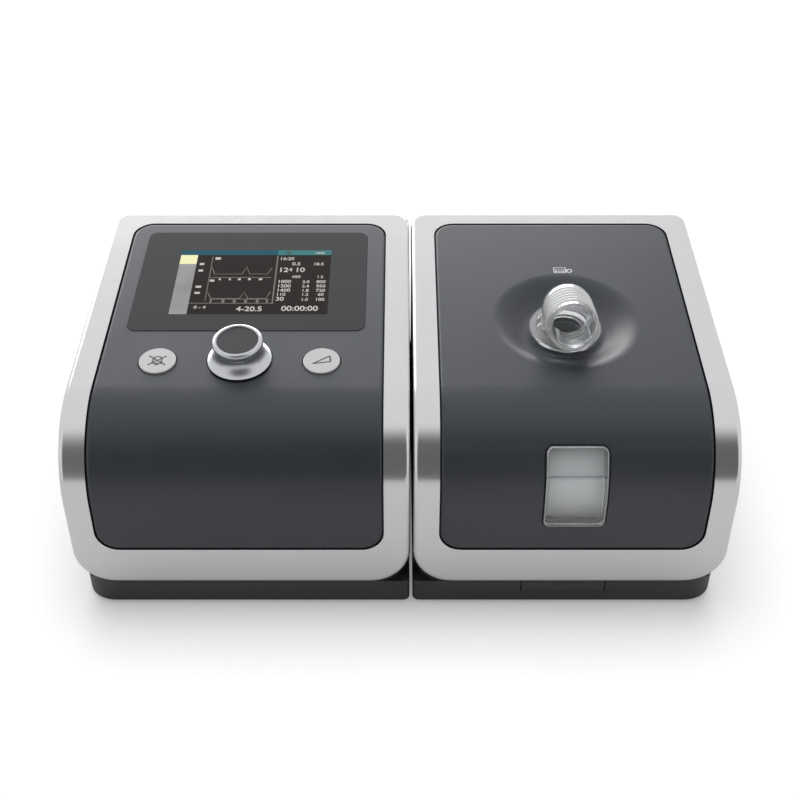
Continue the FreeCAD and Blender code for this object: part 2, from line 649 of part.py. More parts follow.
# ---- flow generator: housing, back and underside ----
SHELL_LEFT = MAIN_LEFT + CASE_SETBACK
CASE_LEFT = MAIN_LEFT + HOUSING_SETBACK
CASE_RIGHT = MAIN_RIGHT - HOUSING_SETBACK
FILTER_X = CASE_LEFT + FILTER_CENTRE_X
FILTER_Z = -FILTER_CENTRE_DROP
DC_X = CASE_LEFT + DC_CENTRE_X
PORT_X = CASE_LEFT + PORT_CENTRE_X
AXIS_X = CASE_LEFT + BLOWER_X
SPIGOT_Y = BLOWER_Y + BLOWER_RADIUS + VOLUTE_GROWTH / 2
LEFT_INSIDE = CASE_LEFT + WALL
RIGHT_INSIDE = CASE_RIGHT - WALL


def foot_centres(left, right):
    """Places of the four feet under one box."""
    x0, x1 = left + HOUSING_SETBACK + FOOT_INSET, right - HOUSING_SETBACK - FOOT_INSET
    y0, y1 = FRONT_Y + BASE_SETBACK + FOOT_INSET, -FRONT_Y - FOOT_INSET
    return [(x, y) for x in (x0, x1) for y in (y0, y1)]


def screw_centres(left, right):
    """Places of the four case screws of one box."""
    inset = WALL + SCREW_INSET
    x0, x1 = left + HOUSING_SETBACK + inset, right - HOUSING_SETBACK - inset
    y0, y1 = FRONT_Y + HOUSING_TOP + inset, -FRONT_Y - WALL - inset
    return [(x, y) for x in (x0, x1) for y in (y0, y1)]


def make_feet(left, right):
    """Four rubber feet with a chamfered edge."""
    feet = []
    for x, y in foot_centres(left, right):
        foot = rod(FOOT_RADIUS, FOOT_HEIGHT, Vector(x, y, 0))
        low = [edge for edge in foot.Edges if edge.BoundBox.ZMax < SEAM and edge.Closed]
        feet.append(foot.makeChamfer(FOOT_GAP / 2, low))
    return Part.makeCompound(feet)


def make_screws(left, right):
    """Four case screws with a hexagon socket, seated in the underside."""
    screws = []
    for x, y in screw_centres(left, right):
        profile = [(0, SCREW_LENGTH), (SCREW_RADIUS, SCREW_LENGTH), (SCREW_RADIUS, SCREW_HEAD_HEIGHT)]
        profile += [(SCREW_HEAD, SCREW_HEAD_HEIGHT), (SCREW_HEAD, 0), (0, 0)]
        screw = turned(profile, x, y, FOOT_GAP)
        socket = rod(SCREW_SOCKET, SCREW_HEAD_HEIGHT / 2, Vector(x, y, FOOT_GAP))
        screws.append(screw.cut(socket))
    return Part.makeCompound(screws)


def docking_pad(x0, x1, front_x0, front_x1):
    """Thick side wall that brings the docking face close to the seam."""
    side = hull(FRAME_DEPTH + SEAM, x0, x1, FOOT_GAP)
    front = FRONT_Y + BASE_SETBACK
    foot = rounded_block(front_x0, front_x1, front, -front, FOOT_GAP, BASE_HEIGHT - SEAM, DOCK_CORNER)
    return side.fuse(foot.common(hull(0, front_x0, front_x1, FOOT_GAP)))


def fitted_housing(left, right, pad):
    """Housing with its docking pad, foot pockets and screw bosses."""
    housing = make_housing(left, right).fuse(pad)
    for x, y in screw_centres(left, right):
        housing = housing.fuse(rod(BOSS_RADIUS, SCREW_LENGTH + WALL, Vector(x, y, FOOT_GAP)))
    for x, y in screw_centres(left, right):
        housing = housing.cut(rod(SCREW_RADIUS + SHAFT_FIT, SCREW_LENGTH + SEAM, Vector(x, y, FOOT_GAP)))
        head = rod(SCREW_HEAD + SEAM, SCREW_HEAD_HEIGHT + CLOSE_SEAM, Vector(x, y, FOOT_GAP))
        housing = housing.cut(head)
    for x, y in foot_centres(left, right):
        pocket = rod(FOOT_RADIUS + CLOSE_SEAM, FOOT_HEIGHT - FOOT_GAP, Vector(x, y, FOOT_GAP))
        housing = housing.cut(pocket)
    return housing


def filter_block(grow, low, high):
    """Rounded rectangle on the back wall; low and high count from the wall's outer face."""
    half_x, half_z = FILTER_WIDTH / 2 + grow, FILTER_HEIGHT / 2 + grow
    block = rounded_block(FILTER_X - half_x, FILTER_X + half_x, FILTER_Z - half_z, FILTER_Z + half_z,
                          -high, -low, FILTER_CORNER + grow)
    return on_slope(along_y(block))


def make_filter_cover():
    """Clip-off cover with a row of louvre slots."""
    cover = filter_block(0, -FILTER_COVER_THICK + SEAM, SEAM)
    pitch = (FILTER_HEIGHT - 2 * FILTER_CORNER) / (FILTER_BARS - 1)
    half = FILTER_WIDTH / 2 - FILTER_CORNER
    for bar in range(FILTER_BARS):
        z = FILTER_Z - FILTER_HEIGHT / 2 + FILTER_CORNER + bar * pitch
        low, high = z - FILTER_BAR_GAP / 2, z + FILTER_BAR_GAP / 2
        slot = box(FILTER_X - half, FILTER_X + half, -FILTER_COVER_THICK, 2 * SEAM, low, high)
        cover = cover.cut(on_slope(slot))
    return cover


def make_filter():
    """Fine filter pad behind the cover."""
    low = -FILTER_COVER_THICK - FILTER_PAD_THICK
    return filter_block(-FILTER_CORNER / 2, low, -FILTER_COVER_THICK)


def filter_tray():
    """Well in the back wall that holds the pad, open to the inside through a grid."""
    depth = -FILTER_COVER_THICK - FILTER_PAD_THICK - WALL
    well = filter_block(WALL, depth, -SEAM)
    well = well.cut(filter_block(CLOSE_SEAM, -FILTER_COVER_THICK, EDGE))
    well = well.cut(filter_block(CLOSE_SEAM - FILTER_CORNER / 2, depth + WALL, EDGE))
    return well.cut(filter_block(EDGE - FILTER_CORNER, depth - EDGE, EDGE))


def make_dc_inlet():
    """Power socket: a block with a round well and a centre pin."""
    half = DC_BODY / 2
    face = -SEAM
    block = box(DC_X - half, DC_X + half, face - DC_DEPTH, face, -DC_DROP - half, -DC_DROP + half)
    well = rod(DC_RADIUS, DC_DEPTH - WALL, Vector(DC_X, face, -DC_DROP), Vector(0, -1, 0))
    pin = rod(DC_PIN_RADIUS, DC_DEPTH - WALL, Vector(DC_X, face - EDGE, -DC_DROP), Vector(0, -1, 0))
    return on_slope(block.cut(well).fuse(pin))


def make_data_port():
    """Data socket with a flat tongue."""
    half_x, half_z = PORT_WIDTH / 2, PORT_HEIGHT / 2
    face = -SEAM
    low, high = -DC_DROP - half_z, -DC_DROP + half_z
    x0, x1 = PORT_X - half_x, PORT_X + half_x
    back = face - PORT_DEPTH
    block = box(x0, x1, back, face, low, high)
    mouth = box(x0 + EDGE, x1 - EDGE, back + WALL, EDGE, low + EDGE, high - EDGE)
    tongue = box(x0 + 2 * EDGE, x1 - 2 * EDGE, back + EDGE, face - EDGE, -DC_DROP, -DC_DROP + EDGE)
    return on_slope(block.cut(mouth).fuse(tongue))


def card_block(grow, x0, x1):
    """Outline of the memory card, larger by grow."""
    half = CARD_WIDTH / 2 + grow
    return box(x0, x1, CARD_Y - half, CARD_Y + half, CARD_HEIGHT - grow, CARD_HEIGHT + CARD_THICK + grow)


def make_card():
    """Memory card in its socket, with a clipped corner."""
    x0 = SHELL_LEFT - CARD_PROUD
    card = card_block(0, x0, x0 + CARD_LENGTH)
    clip_y = CARD_Y + CARD_WIDTH / 2 - CARD_THICK
    corner = box(x0 + CARD_LENGTH - 2 * CARD_THICK, x0 + FAR, clip_y, FAR, 0, FAR)
    return card.cut(corner)


def make_card_socket():
    """Socket round the card, standing on a pillar of the housing's side wall."""
    x0 = LEFT_INSIDE
    x1 = SHELL_LEFT - CARD_PROUD + CARD_LENGTH + CARD_WALL + SEAM
    body = card_block(CARD_PLAY + CARD_WALL, x0, x1)
    return body.cut(card_block(CARD_PLAY, x0 - EDGE, x1 - CARD_WALL))


def make_main_housing():
    """Flow generator's lower case with its back panel openings."""
    face = MAIN_RIGHT - DOCK_SETBACK
    pad = docking_pad(RIGHT_INSIDE, face, RIGHT_INSIDE - CASE_CORNER, face)
    housing = fitted_housing(MAIN_LEFT, MAIN_RIGHT, pad.cut(housing_cavity(MAIN_LEFT, MAIN_RIGHT)))
    housing = housing.cut(filter_block(SEAM, -WALL - EDGE, EDGE)).fuse(filter_tray())
    half = DC_BODY / 2 + SEAM
    socket = box(DC_X - half, DC_X + half, -WALL - EDGE, EDGE, -DC_DROP - half, -DC_DROP + half)
    housing = housing.cut(on_slope(socket))
    half_x, half_z = PORT_WIDTH / 2 + SEAM, PORT_HEIGHT / 2 + SEAM
    port = box(PORT_X - half_x, PORT_X + half_x, -WALL - EDGE, EDGE, -DC_DROP - half_z, -DC_DROP + half_z)
    housing = housing.cut(on_slope(port))
    housing = housing.cut(card_block(CARD_PLAY, MAIN_LEFT - EDGE, LEFT_INSIDE + EDGE))
    hole = rod(SPIGOT_RADIUS + CLOSE_SEAM, FAR, Vector(RIGHT_INSIDE - EDGE, SPIGOT_Y, SPIGOT_HEIGHT), X_AXIS)
    housing = housing.cut(hole)
    for x, y in board_posts():
        housing = housing.fuse(rod(STANDOFF_RADIUS, MAIN_BOARD_GAP + EDGE, Vector(x, y, FLOOR_TOP - EDGE)))
    post_tall = BLOWER_BASE - CRADLE_WALL - FLOOR_TOP + EDGE
    for x, y in blower_posts():
        housing = housing.fuse(rod(BOSS_RADIUS, post_tall, Vector(x, y, FLOOR_TOP - EDGE)))
    return housing.removeSplitter()


# ---- flow generator: main board, blower and air path ----
def board_span():
    """Sides of the main board."""
    inset = SCREW_INSET + BOSS_RADIUS + SEAM + EDGE
    x0, x1 = LEFT_INSIDE + inset, RIGHT_INSIDE - inset
    y0 = FRONT_Y + HOUSING_TOP + WALL + SEAM + EDGE
    return x0, x1, y0, y0 + MAIN_BOARD_DEPTH


def board_posts():
    """Places of the posts under the main board."""
    x0, x1, y0, y1 = board_span()
    rows = (y0 + BOSS_RADIUS, y1 - BOSS_RADIUS)
    return [(x, y) for x in (x0 + BOSS_RADIUS, x1 - BOSS_RADIUS) for y in rows]


def make_main_board():
    """Power and motor board with three capacitors and a driver block."""
    x0, x1, y0, y1 = board_span()
    low = FLOOR_TOP + MAIN_BOARD_GAP
    top = low + BOARD_THICK
    board = box(x0, x1, y0, y1, low, top)
    parts = []
    for step in range(CAPACITOR_COUNT):
        at = Vector(x0 + CAPACITOR_INSET + step * CAPACITOR_PITCH, (y0 + y1) / 2, top)
        parts.append(rod(CAPACITOR_RADIUS, CAPACITOR_HEIGHT, at))
    driver_end = x1 - DRIVER_INSET
    driver_y = (y0 + BOSS_RADIUS, y1 - BOSS_RADIUS)
    parts.append(box(driver_end - DRIVER_LENGTH, driver_end, *driver_y, top, top + SWITCH_SIZE))
    return board.fuse(parts)


def volute(radius, low, high):
    """Snail-shaped block that opens clockwise and leaves towards +X at its widest."""
    count = 24
    points = []
    for step in range(count + 1):
        angle = math.pi / 2 - 2 * math.pi * (1 - step / count)
        spread = radius + VOLUTE_GROWTH * (1 - step / count)
        points.append(Vector(AXIS_X + spread * math.cos(angle), BLOWER_Y + spread * math.sin(angle), low))
    curve = Part.BSplineCurve()
    curve.interpolate(points)
    face = Part.Face(Part.Wire([curve.toShape(), Part.makeLine(points[-1], points[0])]))
    return face.extrude(Vector(0, 0, high - low))


BLOWER_SPLIT = BLOWER_BASE + BLOWER_HALF
BLOWER_TOP = BLOWER_SPLIT + BLOWER_HALF
NOZZLE_END = AXIS_X + BLOWER_RADIUS + NOZZLE_REACH
IMPELLER_LOW = BLOWER_BASE + BLOWER_WALL + EDGE
IMPELLER_HIGH = IMPELLER_LOW + IMPELLER_TALL + 2 * IMPELLER_PLATE
MOTOR_LOW = IMPELLER_HIGH + EDGE
X_AXIS = Vector(1, 0, 0)


def blower_posts():
    """Places of the posts and rubber mounts under the blower."""
    return [(AXIS_X + sx * POST_SPREAD, BLOWER_Y + sy * POST_SPREAD) for sx in (-1, 1) for sy in (-1, 1)]


def make_cradle():
    """Four rubber mounts between the posts and the blower."""
    low = BLOWER_BASE - CRADLE_WALL
    return Part.makeCompound([rod(BOSS_RADIUS, CRADLE_WALL, Vector(x, y, low)) for x, y in blower_posts()])


def blower_shell():
    """Volute with its round outlet nozzle, before it is split into halves."""
    nozzle_at = Vector(AXIS_X + BLOWER_RADIUS / 2, SPIGOT_Y, BLOWER_SPLIT)
    length = NOZZLE_END - nozzle_at.x
    nozzle = rod(NOZZLE_RADIUS, length, nozzle_at, X_AXIS)
    outer = volute(BLOWER_RADIUS + BLOWER_WALL, BLOWER_BASE, BLOWER_TOP).fuse(nozzle)
    inner = volute(BLOWER_RADIUS, BLOWER_BASE + BLOWER_WALL, BLOWER_TOP - BLOWER_WALL)
    shell = outer.cut(inner)
    return shell.cut(rod(NOZZLE_RADIUS - DUCT_WALL, length + EDGE, nozzle_at, X_AXIS))


def make_blower_lower():
    """Lower half of the blower with its inlet eye."""
    half = blower_shell().common(box(-FAR, FAR, -FAR, FAR, 0, BLOWER_SPLIT))
    return half.cut(rod(IMPELLER_EYE, FAR, Vector(AXIS_X, BLOWER_Y, 0)))


def make_blower_upper():
    """Upper half of the blower with the collar that holds the motor."""
    half = blower_shell().common(box(-FAR, FAR, -FAR, FAR, BLOWER_SPLIT, FAR))
    collar_low = BLOWER_TOP - 2 * BLOWER_WALL
    collar_at = Vector(AXIS_X, BLOWER_Y, collar_low)
    half = half.fuse(rod(MOTOR_RADIUS + CLOSE_SEAM + BLOWER_WALL, 4 * BLOWER_WALL, collar_at))
    return half.cut(rod(MOTOR_RADIUS + CLOSE_SEAM, FAR, Vector(AXIS_X, BLOWER_Y, collar_low - EDGE)))


def make_motor_can():
    """Motor body with a bore for the shaft."""
    can = rod(MOTOR_RADIUS, MOTOR_HEIGHT, Vector(AXIS_X, BLOWER_Y, MOTOR_LOW))
    rims = [edge for edge in can.Edges if edge.Closed]
    can = can.makeChamfer(EDGE, rims)
    return can.cut(rod(MOTOR_SHAFT + SHAFT_FIT, FAR, Vector(AXIS_X, BLOWER_Y, 0)))


def make_rotor():
    """Motor shaft."""
    return rod(MOTOR_SHAFT, MOTOR_LOW + MOTOR_HEIGHT - IMPELLER_LOW, Vector(AXIS_X, BLOWER_Y, IMPELLER_LOW))


def blade_face(turn):
    """Plan of one backward-curved blade, turned round the hub."""
    inner, outer = IMPELLER_EYE + EDGE, IMPELLER_RADIUS - SEAM
    middle = (inner + outer) / 2
    half_width = math.degrees(BLADE_THICK / 2 / middle)

    def spot(radius, angle):
        spin = math.radians(angle + turn)
        return Vector(radius * math.cos(spin), radius * math.sin(spin), 0)

    sides = []
    for offset in (-half_width, half_width):
        bend = BLADE_SWEEP * BLADE_BEND + offset
        ends = [spot(inner, offset), spot(middle, bend), spot(outer, BLADE_SWEEP + offset)]
        sides.append(Part.Arc(*ends).toShape())
    first, second = sides
    edges = [first, Part.makeLine(first.Vertexes[-1].Point, second.Vertexes[-1].Point), second]
    edges.append(Part.makeLine(second.Vertexes[0].Point, first.Vertexes[0].Point))
    return Part.Face(Part.Wire(Part.__sortEdges__(edges)))


def make_impeller():
    """Closed impeller: back plate with hub, curved blades and a front ring."""
    blade_low = IMPELLER_PLATE / 2
    top = IMPELLER_TALL + 2 * IMPELLER_PLATE
    hub_radius = MOTOR_SHAFT + 2 * IMPELLER_PLATE
    profile = [(MOTOR_SHAFT + SHAFT_FIT, 2 * EDGE), (hub_radius, 2 * EDGE), (hub_radius + EDGE, top / 2)]
    profile += [(IMPELLER_EYE, top - IMPELLER_PLATE), (IMPELLER_RADIUS, top - IMPELLER_PLATE)]
    profile += [(IMPELLER_RADIUS, top), (MOTOR_SHAFT + SHAFT_FIT, top)]
    wheel = turned(profile, 0, 0, 0)
    ring = tube(IMPELLER_RADIUS, IMPELLER_EYE, IMPELLER_PLATE, Vector(0, 0, 0))
    height = top - IMPELLER_PLATE
    turns = [FULL_TURN * step / BLADE_COUNT for step in range(BLADE_COUNT)]
    blades = [blade_face(turn).extrude(Vector(0, 0, height)) for turn in turns]
    for blade in blades:
        blade.translate(Vector(0, 0, blade_low))
    wheel = wheel.fuse([ring] + blades)
    wheel.translate(Vector(AXIS_X, BLOWER_Y, IMPELLER_LOW))
    return wheel


def make_muffler():
    """Sound-damping foam between the filter and the blower, with an air channel."""
    y0 = BLOWER_Y + BLOWER_RADIUS + VOLUTE_GROWTH + BLOWER_WALL + 2 * EDGE
    x0 = FILTER_X - EDGE
    foam_top = FLOOR_TOP + MUFFLER_HEIGHT
    foam = box(x0 - MUFFLER_WIDTH / 6, x0 + MUFFLER_WIDTH, y0, y0 + MUFFLER_DEPTH, FLOOR_TOP, foam_top)
    channel_at = Vector(x0 + MUFFLER_WIDTH / 2, y0 - EDGE, FLOOR_TOP + MUFFLER_HEIGHT / 2)
    channel = rod(MUFFLER_DEPTH / 3, FAR, channel_at, Vector(0, 1, 0))
    return foam.cut(channel)


def quarter_bend(outer, inner, centre, start, axis):
    """Quarter of a round pipe bent about an axis through centre, begun at start along X or Z."""
    normal = axis.cross(start - centre)
    rims = [Part.Wire(Part.makeCircle(radius, start, normal)) for radius in (outer, inner)]
    ring = Part.Face(rims)
    return ring.revolve(centre, axis, 90)


def make_duct():
    """Soft duct from the blower's nozzle up to the outlet spigot, in one S bend."""
    inner = NOZZLE_RADIUS + CLOSE_SEAM
    outer = inner + DUCT_WALL
    low = Vector(NOZZLE_END - SLEEVE, SPIGOT_Y, BLOWER_SPLIT)
    bend_start = Vector(NOZZLE_END + EDGE, SPIGOT_Y, BLOWER_SPLIT)
    first_centre = bend_start + Vector(0, 0, DUCT_BEND)
    up_start = first_centre + Vector(DUCT_BEND, 0, 0)
    rise = SPIGOT_HEIGHT - BLOWER_SPLIT - 2 * DUCT_BEND
    up_end = up_start + Vector(0, 0, rise)
    second_centre = up_end + Vector(DUCT_BEND, 0, 0)
    last = second_centre + Vector(0, 0, DUCT_BEND)
    end_x = RIGHT_INSIDE - SEAM - WALL - SEAM
    pieces = [tube(outer, inner, bend_start.x - low.x, low, X_AXIS)]
    pieces.append(quarter_bend(outer, inner, first_centre, bend_start, Vector(0, -1, 0)))
    pieces.append(tube(outer, inner, rise, up_start))
    pieces.append(quarter_bend(outer, inner, second_centre, up_end, Vector(0, 1, 0)))
    pieces.append(tube(outer, inner, end_x - last.x, last, X_AXIS))
    return pieces[0].fuse(pieces[1:]).removeSplitter()


def make_spigot():
    """Outlet spigot that plugs into the humidifier."""
    flange_x = RIGHT_INSIDE - SEAM - WALL
    at = Vector(flange_x, SPIGOT_Y, SPIGOT_HEIGHT)
    flange = rod(SPIGOT_FLANGE, WALL, at, X_AXIS)
    length = CASE_RIGHT + SPIGOT_REACH - flange_x
    pipe = rod(SPIGOT_RADIUS, length, at, X_AXIS)
    tip = [edge for edge in pipe.Edges if edge.BoundBox.XMin > flange_x + length - EDGE and edge.Closed]
    pipe = pipe.makeFillet(SPIGOT_EDGE, tip)
    stub = rod(NOZZLE_RADIUS, SLEEVE, at - X_AXIS * SLEEVE, X_AXIS)
    bore = rod(SPIGOT_BORE, FAR, at + X_AXIS * WALL, X_AXIS)
    small = rod(NOZZLE_RADIUS - DUCT_WALL, FAR, at - X_AXIS * FAR / 2, X_AXIS)
    return flange.fuse([pipe, stub]).cut(bore).cut(small).removeSplitter()


# ---- humidifier: hood with dimple, window and elbow ----
DIMPLE_X = HOOD_X + DIMPLE_SHIFT
DIMPLE_AT = Vector(DIMPLE_X, -DIMPLE_BACK, 0)
BOWL_UNDER = -DIMPLE_DEPTH - SKIN
FLANGE_LOW = -DIMPLE_DEPTH + SEAM
BEND_AT = Vector(0, 0, FLANGE_LOW + ELBOW_RISE)
HOOD_CASE_LEFT = HOOD_LEFT + HOUSING_SETBACK
HOOD_CASE_RIGHT = HOOD_RIGHT - HOUSING_SETBACK
HOOD_INSIDE = HOOD_CASE_LEFT + WALL
HINGE_AT = Vector(0, HINGE_OUT, -HINGE_DROP)


def revolved(edges):
    """Revolve a closed XZ outline round the Z axis."""
    face = Part.Face(Part.Wire(Part.__sortEdges__(edges)))
    return face.revolve(Vector(0, 0, 0), Vector(0, 0, 1), FULL_TURN)


def polyline(points):
    """Straight edges through a list of points."""
    return [Part.makeLine(a, b) for a, b in zip(points, points[1:])]


def dimple_cutter():
    """Soft bowl in the hood: level at its rim and at its floor."""
    span = DIMPLE_RADIUS - ELBOW_FLANGE - EDGE
    points = []
    for step in range(DIMPLE_STEPS + 1):
        share = step / DIMPLE_STEPS
        fall = DIMPLE_DEPTH * (1 - math.cos(math.pi * share)) / 2
        points.append(Vector(DIMPLE_RADIUS - span * share, 0, -fall))
    curve = Part.BSplineCurve()
    curve.interpolate(Points=points, InitialTangent=Vector(-1, 0, 0), FinalTangent=Vector(-1, 0, 0))
    corners = [points[-1], Vector(0, 0, -DIMPLE_DEPTH), Vector(0, 0, EDGE)]
    corners += [Vector(DIMPLE_RADIUS, 0, EDGE), points[0]]
    bowl = revolved([curve.toShape()] + polyline(corners))
    bowl.translate(DIMPLE_AT)
    return on_slope(bowl)


def dimple_boss():
    """Thickening under the hood that follows the bowl."""
    floor = ELBOW_FLANGE + 2 * SKIN
    top = -UNDER_SKIN - EDGE
    rim = DIMPLE_RADIUS - EDGE
    profile = [(0, BOWL_UNDER), (floor, BOWL_UNDER), (rim, -UNDER_FLOOR), (rim, top), (0, top)]
    return on_slope(turned(profile, DIMPLE_X, -DIMPLE_BACK, 0))


def window_prism(grow, low_y, high_y):
    """Outline of the window, larger by grow, as a bar along Y."""
    half = WINDOW_WIDTH / 2 + grow
    bar = rounded_block(HOOD_X - half, HOOD_X + half, WINDOW_LOW - grow, WINDOW_HIGH + grow,
                        -high_y, -low_y, WINDOW_CORNER + grow)
    return along_y(bar)


def make_hood_panel():
    """Dark hood of the humidifier with the dimple, the outlet hole and the window opening."""
    panel = make_panel(HOOD_LEFT, HOOD_RIGHT).fuse(dimple_boss()).cut(dimple_cutter())
    hole = rod(NECK_RADIUS + SHAFT_FIT, FAR, DIMPLE_AT - Vector(0, 0, FAR / 2))
    panel = panel.cut(on_slope(hole))
    panel = panel.cut(window_prism(SEAM, FRONT_Y - EDGE, FRONT_Y + NOSE_RADIUS / 2))
    return panel.removeSplitter()


def make_window():
    """Clear window: a curved front with a wall all round it."""
    outer = hull(-WINDOW_PROUD, HOOD_LEFT, HOOD_RIGHT, 0).cut(hull(UNDER_FLOOR, HOOD_LEFT, HOOD_RIGHT, -EDGE))
    lens = outer.common(window_prism(0, FRONT_Y - FAR, FRONT_Y + NOSE_RADIUS / 2))
    hollow = hull(WINDOW_THICK - WINDOW_PROUD, HOOD_LEFT, HOOD_RIGHT, -EDGE)
    hollow = hollow.common(window_prism(-WINDOW_WALL, FRONT_Y - FAR, FRONT_Y + NOSE_RADIUS))
    return lens.cut(hollow)


def hinge_barrel(x0, x1, radius):
    """Cylinder on the hood's hinge axis."""
    return on_slope(rod(radius, x1 - x0, HINGE_AT + Vector(x0, 0, 0), X_AXIS))


def hinge_spans():
    """X spans of the hinges: the housing's knuckle in the middle, the hood's on both sides."""
    spans = []
    for side in (-1, 1):
        middle = HOOD_X + side * HINGE_SPREAD
        start, end = middle - HINGE_KNUCKLE / 2, middle + HINGE_KNUCKLE / 2
        first = (start - SEAM - HINGE_KNUCKLE, start - SEAM)
        last = (end + SEAM, end + SEAM + HINGE_KNUCKLE)
        spans.append(((start, end), first, last))
    return spans


def make_hood_frame():
    """Silver hoop of the hood with the hood's hinge knuckles."""
    frame = make_frame(HOOD_LEFT, HOOD_RIGHT)
    for own, first, last in hinge_spans():
        frame = frame.cut(hinge_barrel(own[0] - SEAM, own[1] + SEAM, HINGE_RADIUS + SEAM))
        for x0, x1 in (first, last):
            web = on_slope(box(x0, x1, -WALL / 2, HINGE_OUT, -HINGE_DROP, -FRAME_DEPTH + EDGE))
            frame = frame.fuse([hinge_barrel(x0, x1, HINGE_RADIUS), web])
    bore = HINGE_PIN_RADIUS + SHAFT_FIT
    return frame.cut(hinge_barrel(HOOD_LEFT, HOOD_RIGHT, bore)).removeSplitter()


def make_hinge_pins():
    """Two steel pins through the knuckles."""
    pins = [hinge_barrel(first[0], last[1], HINGE_PIN_RADIUS) for _, first, last in hinge_spans()]
    return Part.makeCompound(pins)


def outlet_outline():
    """Outside of the outlet with its ridges, as XZ points from the bend to the mouth."""
    core = OUTLET_RADIUS - RIDGE_DEPTH
    land = ELBOW_OUT - OUTLET_LAND
    start = land - RIDGE_COUNT * RIDGE_PITCH
    slope = (RIDGE_PITCH - RIDGE_CREST - RIDGE_VALLEY) / 2
    points = [(core, 0)]
    for ridge in range(RIDGE_COUNT):
        low = start + ridge * RIDGE_PITCH
        points += [(core, low), (OUTLET_RADIUS, low + slope)]
        points += [(OUTLET_RADIUS, low + slope + RIDGE_CREST), (core, low + RIDGE_PITCH - RIDGE_VALLEY)]
    points += [(core, land), (OUTLET_RADIUS, land), (OUTLET_RADIUS, ELBOW_OUT - SEAM)]
    return points + [(OUTLET_RADIUS - SEAM, ELBOW_OUT), (0, ELBOW_OUT), (0, 0)]


def make_elbow():
    """Clear swivel elbow: neck, flange, domed riser and ridged 22 mm outlet."""
    outlet = turned(outlet_outline(), 0, 0, 0)
    bore = rod(OUTLET_RADIUS - OUTLET_WALL, FAR, Vector(0, 0, 0))
    riser = rod(ELBOW_RISER, ELBOW_RISE, Vector(0, 0, FLANGE_LOW))
    flange = rod(ELBOW_FLANGE, ELBOW_FLANGE_THICK, Vector(0, 0, FLANGE_LOW))
    flange_top = Vector(0, 0, FLANGE_LOW + ELBOW_FLANGE_THICK)
    foot = Part.makeCone(ELBOW_RISER + 2 * EDGE, ELBOW_RISER, 2 * EDGE, flange_top)
    neck = rod(NECK_RADIUS, NECK_DEPTH + FLANGE_LOW, Vector(0, 0, -NECK_DEPTH))
    dome = Part.makeSphere(ELBOW_RISER, BEND_AT)
    body = riser.fuse([flange, foot, neck, dome, aimed(outlet)])
    inside = Part.makeSphere(ELBOW_RISER - OUTLET_WALL, BEND_AT)
    shaft = rod(ELBOW_RISER - OUTLET_WALL, ELBOW_RISE - OUTLET_WALL, Vector(0, 0, FLANGE_LOW + OUTLET_WALL))
    way = rod(NECK_RADIUS - OUTLET_WALL, FAR, Vector(0, 0, BEND_AT.z - FAR))
    body = body.cut(aimed(bore)).cut(inside).cut(shaft).cut(way)
    body.translate(DIMPLE_AT)
    return on_slope(body)


def aimed(shape):
    """Turn a shape drawn up the Z axis into the outlet's direction, at the bend."""
    moved = shape.copy()
    moved.rotate(Vector(0, 0, 0), X_AXIS, 90 - ELBOW_LIFT)
    moved.rotate(Vector(0, 0, 0), Vector(0, 0, 1), ELBOW_TURN)
    moved.translate(BEND_AT)
    return moved


def make_elbow_ring():
    """Snap ring that keeps the elbow in the hood."""
    top = BOWL_UNDER - SEAM
    ring = tube(RING_OUT, NECK_RADIUS, RING_THICK, DIMPLE_AT + Vector(0, 0, top - RING_THICK))
    return on_slope(ring)


def make_outlet_gasket():
    """Soft gasket between the hood and the chamber's outlet port."""
    length = GASKET_DEPTH + BOWL_UNDER
    return on_slope(tube(GASKET_OUT, GASKET_IN, length, DIMPLE_AT - Vector(0, 0, GASKET_DEPTH)))


# ---- humidifier: case, heater and water chamber ----
TUB_LEFT = HOOD_INSIDE + CHAMBER_SIDE_GAP
TUB_RIGHT = HOOD_CASE_RIGHT - WALL - CHAMBER_SIDE_GAP
TUB_FRONT = FRONT_Y + HOUSING_TOP + WALL + 2 * SEAM
TUB_BACK = TUB_FRONT + CHAMBER_DEPTH
TUB_TOP = CHAMBER_FLOOR + CHAMBER_HEIGHT
TUB_X = (TUB_LEFT + TUB_RIGHT) / 2
TUB_Y = (TUB_FRONT + TUB_BACK) / 2
COVER_LOW = TUB_TOP + GASKET_THICK
COVER_TOP = COVER_LOW + COVER_HEIGHT
TAB_X = HOOD_X + TAB_SHIFT
TAB_FRONT = FRONT_Y + BASE_SETBACK


def tub_block(grow, low, high):
    """Outline of the water chamber run upwards, larger by grow."""
    return rounded_block(TUB_LEFT - grow, TUB_RIGHT + grow, TUB_FRONT - grow * (grow < 0), TUB_BACK + grow,
                         low, high, CHAMBER_CORNER + min(grow, 0))


def make_tub():
    """Clear water tub with a rim and a recess for its metal plate."""
    tub = tub_block(0, CHAMBER_FLOOR, TUB_TOP).fuse(tub_block(CHAMBER_RIM, TUB_TOP - CHAMBER_WALL, TUB_TOP))
    tub = tub.cut(tub_block(-CHAMBER_WALL, CHAMBER_FLOOR + CHAMBER_WALL, TUB_TOP + EDGE))
    tub = tub.cut(rod(HEATER_RADIUS, PLATE_THICK, Vector(TUB_X, TUB_Y, CHAMBER_FLOOR)))
    inlet = rod(PORT_BORE, 3 * CHAMBER_WALL, Vector(TUB_LEFT - CHAMBER_WALL, SPIGOT_Y, SPIGOT_HEIGHT), X_AXIS)
    return tub.cut(inlet).removeSplitter()


def make_chamber_gasket():
    """Flat seal on the tub's rim."""
    ring = tub_block(CHAMBER_RIM, TUB_TOP, COVER_LOW)
    return ring.cut(tub_block(-CHAMBER_WALL, TUB_TOP - EDGE, COVER_LOW + EDGE))


